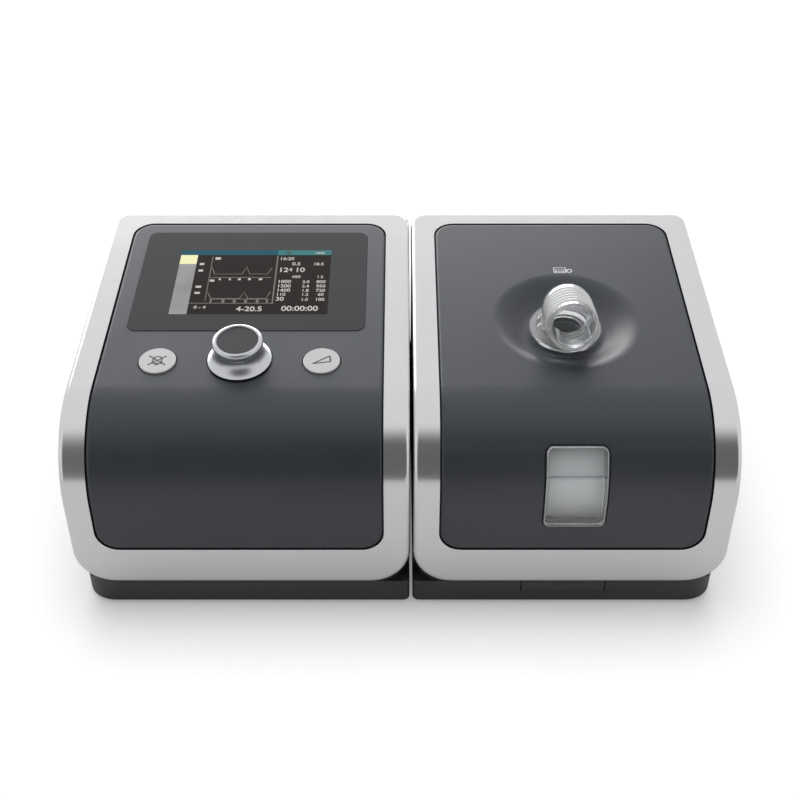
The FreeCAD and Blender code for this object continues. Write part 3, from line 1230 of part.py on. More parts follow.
def make_chamber_cover():
    """Clear cover of the water chamber with its slanted outlet port."""
    limit = hull(UNDER_FLOOR + EDGE, HOOD_LEFT, HOOD_RIGHT, 0)
    cover = tub_block(CHAMBER_RIM, COVER_LOW, COVER_TOP).common(limit)
    inner = tub_block(-CHAMBER_WALL, COVER_LOW - EDGE, COVER_TOP - CHAMBER_WALL)
    inner = inner.common(hull(UNDER_FLOOR + EDGE + CHAMBER_WALL, HOOD_LEFT, HOOD_RIGHT, 0))
    port_top = DIMPLE_AT - Vector(0, 0, GASKET_DEPTH + SEAM + FAR / 4)
    above = box(HOOD_LEFT, HOOD_RIGHT, -FAR, FAR, COVER_TOP - EDGE, FAR)
    port = on_slope(rod(GASKET_OUT, FAR / 4, port_top)).common(above)
    bore = on_slope(rod(PORT_BORE + 2 * EDGE, FAR / 2, DIMPLE_AT - Vector(0, 0, FAR / 2)))
    return cover.cut(inner).fuse(port).cut(bore).removeSplitter()


def make_chamber_plate():
    """Metal plate under the tub that takes up the heat."""
    return rod(HEATER_RADIUS - CLOSE_SEAM, PLATE_THICK, Vector(TUB_X, TUB_Y, CHAMBER_FLOOR))


def make_heater_plate():
    """Heated disc under the chamber."""
    return rod(HEATER_RADIUS - CHAMBER_WALL, HEATER_THICK, Vector(TUB_X, TUB_Y, CHAMBER_FLOOR - HEATER_THICK))


def make_insulator():
    """Heat-insulating disc between the heater and the case."""
    low = CHAMBER_FLOOR - HEATER_THICK - INSULATOR_THICK
    return rod(HEATER_RADIUS, INSULATOR_THICK, Vector(TUB_X, TUB_Y, low))


def make_inlet_seal():
    """Soft sleeve in the case's side that takes the spigot and meets the chamber."""
    start = HOOD_LEFT + 2 * DOCK_SETBACK
    at = Vector(start, SPIGOT_Y, SPIGOT_HEIGHT)
    sleeve = rod(SEAL_RADIUS, TUB_LEFT - CLOSE_SEAM - start, at, X_AXIS)
    flange = rod(SEAL_RADIUS + SEAL_FLANGE, SEAL_FLANGE, Vector(HOOD_INSIDE, SPIGOT_Y, SPIGOT_HEIGHT), X_AXIS)
    return sleeve.fuse(flange).cut(rod(SPIGOT_RADIUS + SEAL_FIT, FAR, at, X_AXIS))


def tab_block(grow, low_z, depth):
    """Outline of the release tab, larger by grow at the sides."""
    half = TAB_WIDTH / 2 + grow
    return box(TAB_X - half, TAB_X + half, TAB_FRONT, TAB_FRONT + depth, low_z, TAB_TOP)


def make_release_tab():
    """Tab in the front of the base that frees the hood."""
    return tab_block(0, TAB_LOW + SEAM / 2, TAB_THICK)


def make_hood_housing():
    """Humidifier's lower case with the heater's pedestal, hinge knuckles and the tab's pocket."""
    face = HOOD_LEFT + DOCK_SETBACK
    pad = docking_pad(face, HOOD_INSIDE, face, HOOD_INSIDE + CASE_CORNER)
    housing = fitted_housing(HOOD_LEFT, HOOD_RIGHT, pad.cut(housing_cavity(HOOD_LEFT, HOOD_RIGHT)))
    low = CHAMBER_FLOOR - HEATER_THICK - INSULATOR_THICK
    heater_at = Vector(TUB_X, TUB_Y, FOOT_GAP)
    pedestal = tube(HEATER_RADIUS + WALL, HEATER_RADIUS + SEAM, CHAMBER_FLOOR - EDGE - FOOT_GAP, heater_at)
    disc = rod(HEATER_RADIUS + EDGE, low - FOOT_GAP, heater_at)
    housing = housing.fuse([pedestal, disc])
    seal_at = Vector(HOOD_LEFT - EDGE, SPIGOT_Y, SPIGOT_HEIGHT)
    hole = rod(SEAL_RADIUS + CLOSE_SEAM, HOOD_INSIDE - HOOD_LEFT + EDGE, seal_at, X_AXIS)
    housing = housing.cut(hole)
    pocket = tab_block(TAB_GAP, TAB_LOW, TAB_THICK + TAB_TRAVEL + SEAM)
    housing = housing.cut(pocket)
    window = window_prism(EDGE, FRONT_Y, FRONT_Y + NOSE_RADIUS / 2)
    view = box(HOOD_X - WINDOW_WIDTH, HOOD_X + WINDOW_WIDTH, FRONT_Y, TUB_FRONT, WINDOW_LOW, FAR)
    housing = housing.cut(window.fuse(view))
    for own, first, last in hinge_spans():
        for x0, x1 in (first, last):
            housing = housing.cut(hinge_barrel(x0 - SEAM, x1 + SEAM, HINGE_RADIUS + SEAM))
        web = on_slope(box(own[0], own[1], -WALL, HINGE_OUT, -HINGE_DROP - HINGE_RADIUS - EDGE, -HINGE_DROP))
        housing = housing.fuse([hinge_barrel(own[0], own[1], HINGE_RADIUS), web])
        housing = housing.cut(hinge_barrel(own[0] - EDGE, own[1] + EDGE, HINGE_PIN_RADIUS + SHAFT_FIT))
    return housing.removeSplitter()


# ---- all nodes ----
def build_all():
    """Make every node of the machine."""
    nodes["main_frame"] = make_frame(MAIN_LEFT, MAIN_RIGHT)
    nodes["main_panel"] = make_main_panel()
    nodes["main_housing"] = make_main_housing()
    nodes["main_feet"] = make_feet(MAIN_LEFT, MAIN_RIGHT)
    nodes["main_screws"] = make_screws(MAIN_LEFT, MAIN_RIGHT)
    nodes["display_lens"] = make_lens()
    nodes["lcd_module"] = make_lcd()
    nodes["control_board"] = make_control_board()
    nodes["tact_switches"] = make_switches()
    for name, centre_x in button_centres().items():
        nodes[name] = make_button(centre_x)
    nodes["encoder_body"] = make_encoder()
    nodes["encoder_plunger"] = make_plunger()
    nodes["knob_body"] = make_knob()
    nodes["knob_cap"] = make_knob_cap()
    nodes["filter_cover"] = make_filter_cover()
    nodes["inlet_filter"] = make_filter()
    nodes["dc_inlet"] = make_dc_inlet()
    nodes["data_port"] = make_data_port()
    nodes["sd_card"] = make_card()
    nodes["card_socket"] = make_card_socket()
    nodes["main_board"] = make_main_board()
    nodes["blower_mounts"] = make_cradle()
    nodes["blower_lower"] = make_blower_lower()
    nodes["blower_upper"] = make_blower_upper()
    nodes["impeller"] = make_impeller()
    nodes["motor_shaft"] = make_rotor()
    nodes["motor_can"] = make_motor_can()
    nodes["muffler_foam"] = make_muffler()
    nodes["blower_duct"] = make_duct()
    nodes["outlet_spigot"] = make_spigot()
    nodes["hood_frame"] = make_hood_frame()
    nodes["hood_panel"] = make_hood_panel()
    nodes["water_window"] = make_window()
    nodes["outlet_elbow"] = make_elbow()
    nodes["elbow_ring"] = make_elbow_ring()
    nodes["outlet_gasket"] = make_outlet_gasket()
    nodes["hinge_pins"] = make_hinge_pins()
    nodes["humidifier_housing"] = make_hood_housing()
    nodes["humidifier_feet"] = make_feet(HOOD_LEFT, HOOD_RIGHT)
    nodes["humidifier_screws"] = make_screws(HOOD_LEFT, HOOD_RIGHT)
    nodes["release_tab"] = make_release_tab()
    nodes["chamber_tub"] = make_tub()
    nodes["chamber_gasket"] = make_chamber_gasket()
    nodes["chamber_cover"] = make_chamber_cover()
    nodes["chamber_plate"] = make_chamber_plate()
    nodes["heater_plate"] = make_heater_plate()
    nodes["heater_insulator"] = make_insulator()
    nodes["inlet_seal"] = make_inlet_seal()


build_all()
os.makedirs("parts", exist_ok=True)
for name, shape in nodes.items():
    shape.exportStep("parts/" + name + ".step")
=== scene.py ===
"""Finish and stage the two-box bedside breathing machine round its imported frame."""
from __future__ import annotations

import json
import logging
import math
from dataclasses import dataclass
from enum import Enum

import bmesh
import bpy
from mathutils import Matrix, Vector
from mathutils.bvhtree import BVHTree

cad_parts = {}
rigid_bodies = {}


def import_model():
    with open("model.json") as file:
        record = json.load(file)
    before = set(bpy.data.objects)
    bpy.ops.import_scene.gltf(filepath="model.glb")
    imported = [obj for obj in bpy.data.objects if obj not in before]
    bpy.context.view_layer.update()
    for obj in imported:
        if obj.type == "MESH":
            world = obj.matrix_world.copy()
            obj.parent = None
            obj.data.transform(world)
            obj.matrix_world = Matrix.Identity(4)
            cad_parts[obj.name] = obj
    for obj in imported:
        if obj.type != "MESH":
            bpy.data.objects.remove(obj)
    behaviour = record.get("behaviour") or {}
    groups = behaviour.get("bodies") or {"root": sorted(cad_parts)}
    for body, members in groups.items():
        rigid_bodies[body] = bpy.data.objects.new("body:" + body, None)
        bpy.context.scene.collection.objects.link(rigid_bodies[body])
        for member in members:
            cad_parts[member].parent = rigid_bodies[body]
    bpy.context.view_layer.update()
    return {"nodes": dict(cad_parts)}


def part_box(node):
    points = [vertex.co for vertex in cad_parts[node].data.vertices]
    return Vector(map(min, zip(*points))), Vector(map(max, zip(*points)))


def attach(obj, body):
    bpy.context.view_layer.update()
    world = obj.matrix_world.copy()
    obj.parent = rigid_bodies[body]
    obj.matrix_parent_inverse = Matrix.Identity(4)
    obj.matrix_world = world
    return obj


for spare in list(bpy.data.objects):
    bpy.data.objects.remove(spare)
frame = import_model()
LOG = logging.getLogger("machine")
MM = 0.001
Colour = tuple[float, float, float]
Spot = tuple[float, float]
Run = list[Spot]

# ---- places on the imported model, in metres and radians ----
TILT = math.radians(8.4)
BACK_HEIGHT = 116.9 * MM
TOP_REACH = 162.9 * MM
FRONT_Y = -(TOP_REACH + BACK_HEIGHT * math.tan(TILT)) / 2
SLOPE = Matrix.Translation((0.0, FRONT_Y + TOP_REACH, BACK_HEIGHT)) @ Matrix.Rotation(TILT, 4, "X")
MAIN_LEFT = -145.0 * MM
KNOB_X = MAIN_LEFT + 74.0 * MM
KEY_SPREAD = 36.3 * MM
KEY_BACK = 114.4 * MM
KEY_PROUD = 0.8 * MM
HOOD_X = 75.25 * MM

# ---- values that meshes and finishes share ----
SHARP = math.radians(28.0)
LETTER_WEIGHT = 0.018
BEVEL_STEPS = 2
CELL_SMOOTHNESS = 0.6
CELL_SHARE = 0.6
FINE_DETAIL = 2.0
SLOW_DETAIL = 3.0
BUMP_DEPTH = 0.1 * MM
EDGE_START = 0.51
EDGE_FULL = 0.60
EDGE_GAIN = 1.25
EDGE_LIFT = 0.03
GLOSS_SPREAD = 0.1
LEAST_ROUGHNESS = 0.01
ACRYLIC_IOR = 1.49


class Slot(Enum):
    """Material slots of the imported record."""

    LCD = "lcd"
    KEY = "key"
    INSERT = "knob_insert"
    CLEAR = "clear_plastic"


# ---- shader helpers ----
def new_group(name: str, inputs: dict[str, float], outputs: tuple[str, ...]) -> bpy.types.NodeTree:
    """Start a shader node group of plain numbers.

    Args:
        name: Name of the group.
        inputs: Default value of each input, by socket name.
        outputs: Names of the outputs.

    Returns:
        The group's node tree, with its two interface nodes named In and Out.
    """
    tree = bpy.data.node_groups.new(name, "ShaderNodeTree")
    for label, default in inputs.items():
        socket = tree.interface.new_socket(name=label, in_out="INPUT", socket_type="NodeSocketFloat")
        socket.default_value = default
    for label in outputs:
        tree.interface.new_socket(name=label, in_out="OUTPUT", socket_type="NodeSocketFloat")
    tree.nodes.new("NodeGroupInput").name = "In"
    tree.nodes.new("NodeGroupOutput").name = "Out"
    return tree


def add_node(tree: bpy.types.NodeTree, kind: str, **values: object) -> bpy.types.Node:
    """Add a node and set its plain attributes.

    Args:
        tree: Tree that takes the node.
        kind: Blender's identifier of the node type.
        **values: Attributes to set on the node.

    Returns:
        The new node.
    """
    node = tree.nodes.new(kind)
    for key, value in values.items():
        setattr(node, key, value)
    return node


def grain_group() -> bpy.types.NodeTree:
    """Moulded grain: a height and a slow mask from Object coordinates.

    Returns:
        A group with inputs Scale and Coarse, and outputs Height and Mask.
    """
    tree = new_group("moulded_grain", {"Scale": 2500.0, "Coarse": 60.0}, ("Height", "Mask"))
    links = tree.links
    place = add_node(tree, "ShaderNodeTexCoord")
    cells = add_node(tree, "ShaderNodeTexVoronoi", feature="SMOOTH_F1")
    cells.inputs["Smoothness"].default_value = CELL_SMOOTHNESS
    noise = add_node(tree, "ShaderNodeTexNoise")
    noise.inputs["Detail"].default_value = FINE_DETAIL
    slow = add_node(tree, "ShaderNodeTexNoise")
    slow.inputs["Detail"].default_value = SLOW_DETAIL
    blend = add_node(tree, "ShaderNodeMath", operation="MULTIPLY_ADD")
    blend.inputs[1].default_value = CELL_SHARE
    source, target = tree.nodes["In"], tree.nodes["Out"]
    for texture, size in ((cells, "Scale"), (noise, "Scale"), (slow, "Coarse")):
        links.new(place.outputs["Object"], texture.inputs["Vector"])
        links.new(source.outputs[size], texture.inputs["Scale"])
    links.new(cells.outputs["Distance"], blend.inputs[0])
    links.new(noise.outputs["Fac"], blend.inputs[2])
    links.new(blend.outputs[0], target.inputs["Height"])
    links.new(slow.outputs["Fac"], target.inputs["Mask"])
    return tree


def wear_group() -> bpy.types.NodeTree:
    """Faint edge polish: a mask that is high along convex edges.

    Returns:
        A group with input Amount and output Mask.
    """
    tree = new_group("edge_polish", {"Amount": 0.2}, ("Mask",))
    links = tree.links
    shape = add_node(tree, "ShaderNodeNewGeometry")
    ramp = add_node(tree, "ShaderNodeMapRange")
    ramp.inputs["From Min"].default_value = EDGE_START
    ramp.inputs["From Max"].default_value = EDGE_FULL
    scaled = add_node(tree, "ShaderNodeMath", operation="MULTIPLY")
    links.new(shape.outputs["Pointiness"], ramp.inputs["Value"])
    links.new(ramp.outputs["Result"], scaled.inputs[0])
    links.new(tree.nodes["In"].outputs["Amount"], scaled.inputs[1])
    links.new(scaled.outputs[0], tree.nodes["Out"].inputs["Mask"])
    return tree


GRAIN = grain_group()
WEAR = wear_group()


@dataclass(frozen=True)
class Finish:
    """One surface finish: colour, gloss, grain and slight variation."""

    name: str
    colour: Colour
    roughness: float = 0.5
    metallic: float = 0.0
    specular: float = 0.5
    coat: float = 0.0
    coat_roughness: float = 0.1
    grain: float = 0.0
    grain_scale: float = 2500.0
    mottle: float = 0.04
    edge: float = 0.15
    transmission: float = 0.0
    ior: float = 1.5
    emission: float = 0.0

    def material(self) -> bpy.types.Material:
        """Build the node material, or fetch it if it exists.

        Returns:
            The finished material.
        """
        found = bpy.data.materials.get(self.name)
        if found:
            return found
        made = bpy.data.materials.new(self.name)
        made.use_nodes = True
        tree = made.node_tree
        shader = tree.nodes["Principled BSDF"]
        shader.inputs["Metallic"].default_value = self.metallic
        shader.inputs["Specular IOR Level"].default_value = self.specular
        shader.inputs["Coat Weight"].default_value = self.coat
        shader.inputs["Coat Roughness"].default_value = self.coat_roughness
        shader.inputs["Transmission Weight"].default_value = self.transmission
        shader.inputs["IOR"].default_value = self.ior
        if self.mottle > 0.0 or self.edge > 0.0:
            self.colour_nodes(tree, shader)
        else:
            shader.inputs["Base Color"].default_value = (*self.colour, 1.0)
        self.gloss_nodes(tree, shader)
        if self.grain > 0.0:
            self.bump_nodes(tree, shader)
        if self.emission > 0.0:
            shader.inputs["Emission Color"].default_value = (*self.colour, 1.0)
            shader.inputs["Emission Strength"].default_value = self.emission
        return made

    def colour_nodes(self, tree: bpy.types.NodeTree, shader: bpy.types.Node) -> None:
        """Feed the colour with slow variation and a faint edge polish.

        Args:
            tree: The material's tree.
            shader: Its Principled shader.
        """
        links = tree.links
        grain = add_node(tree, "ShaderNodeGroup", node_tree=GRAIN)
        grain.inputs["Scale"].default_value = self.grain_scale
        wear = add_node(tree, "ShaderNodeGroup", node_tree=WEAR)
        wear.inputs["Amount"].default_value = self.edge
        dark = add_node(tree, "ShaderNodeMix", data_type="RGBA")
        low = tuple(max(c * (1.0 - self.mottle), 0.0) for c in self.colour)
        high = tuple(min(c * (1.0 + self.mottle), 1.0) for c in self.colour)
        dark.inputs["A"].default_value = (*low, 1.0)
        dark.inputs["B"].default_value = (*high, 1.0)
        links.new(grain.outputs["Mask"], dark.inputs["Factor"])
        lift = add_node(tree, "ShaderNodeMix", data_type="RGBA")
        bright = tuple(min(c * EDGE_GAIN + EDGE_LIFT, 1.0) for c in self.colour)
        lift.inputs["B"].default_value = (*bright, 1.0)
        links.new(wear.outputs["Mask"], lift.inputs["Factor"])
        links.new(dark.outputs["Result"], lift.inputs["A"])
        links.new(lift.outputs["Result"], shader.inputs["Base Color"])

    def gloss_nodes(self, tree: bpy.types.NodeTree, shader: bpy.types.Node) -> None:
        """Feed the roughness with slow variation.

        Args:
            tree: The material's tree.
            shader: Its Principled shader.
        """
        grain = add_node(tree, "ShaderNodeGroup", node_tree=GRAIN)
        grain.inputs["Scale"].default_value = self.grain_scale
        gloss = add_node(tree, "ShaderNodeMapRange")
        gloss.inputs["To Min"].default_value = max(self.roughness * (1.0 - GLOSS_SPREAD), LEAST_ROUGHNESS)
        gloss.inputs["To Max"].default_value = min(self.roughness * (1.0 + GLOSS_SPREAD), 1.0)
        tree.links.new(grain.outputs["Mask"], gloss.inputs["Value"])
        tree.links.new(gloss.outputs["Result"], shader.inputs["Roughness"])

    def bump_nodes(self, tree: bpy.types.NodeTree, shader: bpy.types.Node) -> None:
        """Feed the normal with the moulded grain.

        Args:
            tree: The material's tree.
            shader: Its Principled shader.
        """
        grain = add_node(tree, "ShaderNodeGroup", node_tree=GRAIN)
        grain.inputs["Scale"].default_value = self.grain_scale
        bump = add_node(tree, "ShaderNodeBump")
        bump.inputs["Strength"].default_value = self.grain
        bump.inputs["Distance"].default_value = BUMP_DEPTH
        tree.links.new(grain.outputs["Height"], bump.inputs["Height"])
        tree.links.new(bump.outputs["Normal"], shader.inputs["Normal"])


SATIN_SILVER = Finish(
    "satin_silver", (0.55, 0.554, 0.562), 0.19, metallic=1.0, grain=0.03, grain_scale=6000.0,
    mottle=0.01, edge=0.0)
GRAPHITE = Finish(
    "graphite_panel", (0.021, 0.025, 0.032), 0.4, grain=0.12, grain_scale=3200.0, mottle=0.06, edge=0.2)
LEATHERY = Finish(
    "leathery_panel", (0.021, 0.025, 0.032), 0.41, grain=0.5, grain_scale=1500.0, mottle=0.06, edge=0.2)
CASE = Finish(
    "case_moulding", (0.026, 0.027, 0.031), 0.5, specular=0.4, grain=0.2, grain_scale=2800.0,
    mottle=0.06, edge=0.2)
LENS = Finish("tinted_lens", (0.011, 0.013, 0.017), 0.13, mottle=0.02, edge=0.0)
KEY = Finish("satin_key", (0.44, 0.444, 0.446), 0.42, metallic=0.2, specular=0.4, grain=0.03, mottle=0.02)
CHROME = Finish("satin_chrome", (0.47, 0.48, 0.495), 0.31, metallic=1.0, mottle=0.02, edge=0.0)
INSERT = Finish("knob_face", (0.022, 0.023, 0.027), 0.3, specular=0.33, grain=0.05, mottle=0.06)
CLEAR = Finish(
    "clear_acrylic", (0.97, 0.985, 0.99), 0.03, transmission=1.0, ior=ACRYLIC_IOR, mottle=0.0, edge=0.0)
RIBBED = Finish(
    "ribbed_acrylic", (0.93, 0.94, 0.95), 0.05, transmission=0.86, ior=ACRYLIC_IOR, mottle=0.0, edge=0.0)
# Partly painted highlight: pale, half-clear acrylic for the outlet's ribs and the pane's edge bead,
# standing in for the bright glints that clear ridges show.
PALE_RIDGE_HIGHLIGHT = Finish(
    "ridge_highlight_acrylic", (0.80, 0.81, 0.82), 0.12, transmission=0.35, ior=ACRYLIC_IOR, mottle=0.0, edge=0.0)
FROSTED = Finish(
    "frosted_acrylic", (0.94, 0.95, 0.96), 0.3, transmission=0.15, ior=ACRYLIC_IOR, mottle=0.01, edge=0.0)
STEEL = Finish("plain_steel", (0.55, 0.55, 0.57), 0.28, metallic=1.0)
ALUMINIUM = Finish("plain_aluminium", (0.72, 0.73, 0.75), 0.35, metallic=1.0)
RUBBER = Finish("matt_rubber", (0.02, 0.02, 0.021), 0.75, grain=0.3, grain_scale=1800.0)
SILICONE = Finish("grey_silicone", (0.45, 0.47, 0.49), 0.45, grain=0.05)
BOARD = Finish("solder_mask", (0.012, 0.075, 0.04), 0.35, coat=0.3)
COMPONENT = Finish("black_moulding", (0.02, 0.02, 0.022), 0.45, grain=0.1)
FOAM = Finish("open_foam", (0.05, 0.05, 0.053), 0.95, grain=1.0, grain_scale=700.0, mottle=0.3)
FIBRE = Finish("filter_fibre", (0.72, 0.73, 0.71), 0.95, grain=0.8, grain_scale=900.0, mottle=0.1)
BLOWER = Finish("grey_moulding", (0.28, 0.29, 0.31), 0.5, grain=0.1)
WHEEL = Finish("off_white_moulding", (0.72, 0.72, 0.68), 0.5, grain=0.1)
INSULATION = Finish("heat_moulding", (0.32, 0.26, 0.18), 0.7, grain=0.4)
INK = Finish("dark_ink", (0.022, 0.023, 0.026), 0.5, mottle=0.02, edge=0.0)
# Painted shade: near-black colour for the bead that stands in for the shade in the gap round the water
# window.
GAP_SHADE_FINISH = Finish("painted_gap_shade", (0.006, 0.006, 0.007), 0.6, specular=0.2, mottle=0.02, edge=0.0)
PALE_INK = Finish("pale_ink", (0.78, 0.79, 0.80), 0.5, mottle=0.02, edge=0.0)


# ---- mesh helpers ----
def finish_mesh(
        bm: bmesh.types.BMesh, name: str, place: Matrix, body: str, finish: Finish,
) -> None:
    """Turn a bmesh into a dressed piece that rides on a body, smooth between its sharp edges.

    Args:
        bm: The finished mesh, freed here.
        name: Name of the piece.
        place: Transform from the mesh's own frame to the object's.
        body: CAD body that carries the piece.
        finish: Surface finish.
    """
    mesh = bpy.data.meshes.new(name)
    bm.to_mesh(mesh)
    bm.free()
    mesh.transform(place)
    mesh.materials.append(finish.material())
    mesh.set_sharp_from_angle(angle=SHARP)
    piece = bpy.data.objects.new(name, mesh)
    bpy.context.scene.collection.objects.link(piece)
    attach(piece, body)
    LOG.info("%s rides on %s", name, body)


def add_bar(bm: bmesh.types.BMesh, centre: Spot, size: Spot, height: float, lift: float = 0.0) -> None:
    """Add a flat bar to a bmesh.

    Args:
        bm: Mesh that takes the bar.
        centre: Middle of the bar in its plane.
        size: Width and length.
        height: Thickness.
        lift: Height of its underside above the plane.
    """
    place = Matrix.Translation((*centre, lift)) @ Matrix.Diagonal((*size, 1.0, 1.0))
    made = bmesh.ops.create_grid(bm, x_segments=1, y_segments=1, size=0.5, matrix=place)
    face = made["verts"][0].link_faces[0]
    grown = bmesh.ops.extrude_face_region(bm, geom=[face])
    top = [v for v in grown["geom"] if isinstance(v, bmesh.types.BMVert)]
    bmesh.ops.translate(bm, verts=top, vec=(0.0, 0.0, height))
    faces = dict.fromkeys(face for vert in [*made["verts"], *top] for face in vert.link_faces)
    bmesh.ops.recalc_face_normals(bm, faces=list(faces))


def rod_mesh(
        name: str, runs: list[list[Vector]], radius: float, closed: bool, place: Matrix,
) -> bpy.types.Mesh:
    """Round rods along runs of points.

    Args:
        name: Name of the mesh.
        runs: Points of each rod's axis.
        radius: Radius of the rods.
        closed: Whether each rod closes on itself.
        place: Transform applied to the mesh.

    Returns:
        The mesh.
    """
    curve = bpy.data.curves.new(name, "CURVE")
    curve.dimensions = "3D"
    curve.bevel_depth = radius
    curve.bevel_resolution = BEVEL_STEPS
    curve.use_fill_caps = not closed
    for run in runs:
        spline = curve.splines.new("POLY")
        spline.points.add(len(run) - 1)
        for point, spot in zip(spline.points, run):
            point.co = (*spot, 1.0)
        spline.use_cyclic_u = closed
    return mesh_from(curve, place)


def stroke_mesh(
        name: str, lines: list[Run], width: float, height: float, closed: bool = False,
) -> bpy.types.Mesh:
    """Raised print lines of one width, in the XY plane.

    Args:
        name: Name of the mesh.
        lines: Runs of points.
        width: Width of the lines.
        height: How far they stand up.
        closed: Whether each run closes on itself.

    Returns:
        The mesh, still in its own plane.
    """
    runs = [[Vector((x, y, 0.0)) for x, y in line] for line in lines]
    flatten = Matrix.Diagonal((1.0, 1.0, 2 * height / width, 1.0))
    return rod_mesh(name, runs, width / 2, closed, flatten)


def text_mesh(name: str, words: str, size: float, height: float, place: Matrix) -> bpy.types.Mesh:
    """Numbers as a thin raised print.

    Args:
        name: Name of the mesh.
        words: Digits and marks to set.
        size: Letter size.
        height: How far they stand up.
        place: Transform of the words in their plane.

    Returns:
        The mesh.
    """
    font = bpy.data.curves.new(name, "FONT")
    font.body = words
    font.size = size
    font.extrude = height
    font.offset = LETTER_WEIGHT * size
    return mesh_from(font, place)


def mesh_from(curve: bpy.types.Curve, place: Matrix) -> bpy.types.Mesh:
    """Convert a curve or text to a mesh and drop the curve.

    Args:
        curve: Curve data.
        place: Transform applied to the mesh.

    Returns:
        The mesh.
    """
    holder = bpy.data.objects.new(curve.name, curve)
    bpy.context.scene.collection.objects.link(holder)
    bpy.context.view_layer.update()
    graph = bpy.context.evaluated_depsgraph_get()
    mesh = bpy.data.meshes.new_from_object(holder.evaluated_get(graph))
    bpy.data.objects.remove(holder)
    bpy.data.curves.remove(curve)
    mesh.transform(place)
    return mesh


def joined(meshes: list[bpy.types.Mesh]) -> bmesh.types.BMesh:
    """Gather several meshes in one bmesh and drop them.

    Args:
        meshes: Meshes in one shared frame.

    Returns:
        The gathered bmesh.
    """
    bm = bmesh.new()
    for mesh in meshes:
        bm.from_mesh(mesh)
        bpy.data.meshes.remove(mesh)
    return bm


def arc(centre: Spot, radius: float, start: float, end: float, steps: int) -> Run:
    """Points along an arc.

    Args:
        centre: Middle of the arc.
        radius: Its radius.
        start: First angle in degrees.
        end: Last angle in degrees.
        steps: Number of runs.

    Returns:
        The points in order.
    """
    angles = [math.radians(start + (end - start) * step / steps) for step in range(steps + 1)]
    return [(centre[0] + radius * math.cos(a), centre[1] + radius * math.sin(a)) for a in angles]


def oblong(corner: Spot, opposite: Spot) -> Run:
    """Corners of a rectangle, from one corner across to the next."""
    (x0, y0), (x1, y1) = corner, opposite
    return [(x0, y0), (x1, y0), (x1, y1), (x0, y1)]


# ---- the CAD nodes' finishes ----
@dataclass
class CarriedNodes:
    """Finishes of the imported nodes, outside and inside."""

    finishes: tuple[tuple[Finish, tuple[str, ...]], ...] = (
        (SATIN_SILVER, ("main_frame", "hood_frame")),
        (GRAPHITE, ("main_panel",)),
        (LEATHERY, ("hood_panel",)),
        (CASE, ("main_housing", "humidifier_housing", "release_tab", "filter_cover")),
        (LENS, ("display_lens",)),
        (KEY, ("mute_button", "ramp_button")),
        (CHROME, ("knob_body",)),
        (INSERT, ("knob_cap",)),
        (CLEAR, ("water_window",)),
        (RIBBED, ("outlet_elbow",)),
        (FROSTED, ("chamber_tub", "chamber_cover")),
        (STEEL, (
            "main_screws", "humidifier_screws", "hinge_pins", "motor_shaft", "motor_can",
            "encoder_plunger")),
        (ALUMINIUM, ("chamber_plate", "heater_plate")),
        (RUBBER, ("main_feet", "humidifier_feet", "inlet_seal", "blower_mounts")),
        (SILICONE, ("outlet_gasket", "chamber_gasket", "elbow_ring", "blower_duct")),
        (BOARD, ("control_board", "main_board")),
        (COMPONENT, (
            "tact_switches", "encoder_body", "dc_inlet", "data_port", "card_socket", "sd_card",
            "lcd_module")),
        (FOAM, ("muffler_foam",)),
        (FIBRE, ("inlet_filter",)),
        (BLOWER, ("blower_lower", "blower_upper", "outlet_spigot")),
        (WHEEL, ("impeller",)),
        (INSULATION, ("heater_insulator",)),
    )

    def build(self) -> None:
        """Put each finish on its nodes."""
        for finish, names in self.finishes:
            for name in names:
                mesh = frame["nodes"][name].data
                mesh.materials.clear()
                mesh.materials.append(finish.material())
        LOG.info("finished %d packed nodes", sum(len(names) for _, names in self.finishes))


# ---- display picture ----
PICTURE_GLOSS = 0.13
PICTURE_SPECULAR = 0.1


def picture_finish(name: str, colour: Colour, emission: float = 0.0, mottle: float = 0.0) -> Finish:
    """One tone of the display picture.

    Args:
        name: Name of the material.
        colour: Its colour.
        emission: How strongly it glows.
        mottle: How much its colour varies.

    Returns:
        The finish.
    """
    return Finish(
        name, colour, PICTURE_GLOSS, specular=PICTURE_SPECULAR, mottle=mottle, edge=0.0, emission=emission)


PICTURE_DARK = picture_finish("picture_ground", (0.020, 0.015, 0.014))
PICTURE_BLUE = picture_finish("picture_blue", (0.012, 0.085, 0.125), emission=0.12)
PICTURE_TEAL = picture_finish("picture_teal", (0.045, 0.190, 0.195), emission=0.12)
PICTURE_GREY = picture_finish("picture_grey", (0.34, 0.34, 0.345), mottle=0.3)
PICTURE_YELLOW = picture_finish("picture_yellow", (0.86, 0.84, 0.50), emission=0.1)
PICTURE_LINE = picture_finish("picture_line", (0.205, 0.175, 0.160))
PICTURE_PALE = picture_finish("picture_pale", (0.56, 0.53, 0.49), emission=0.1)


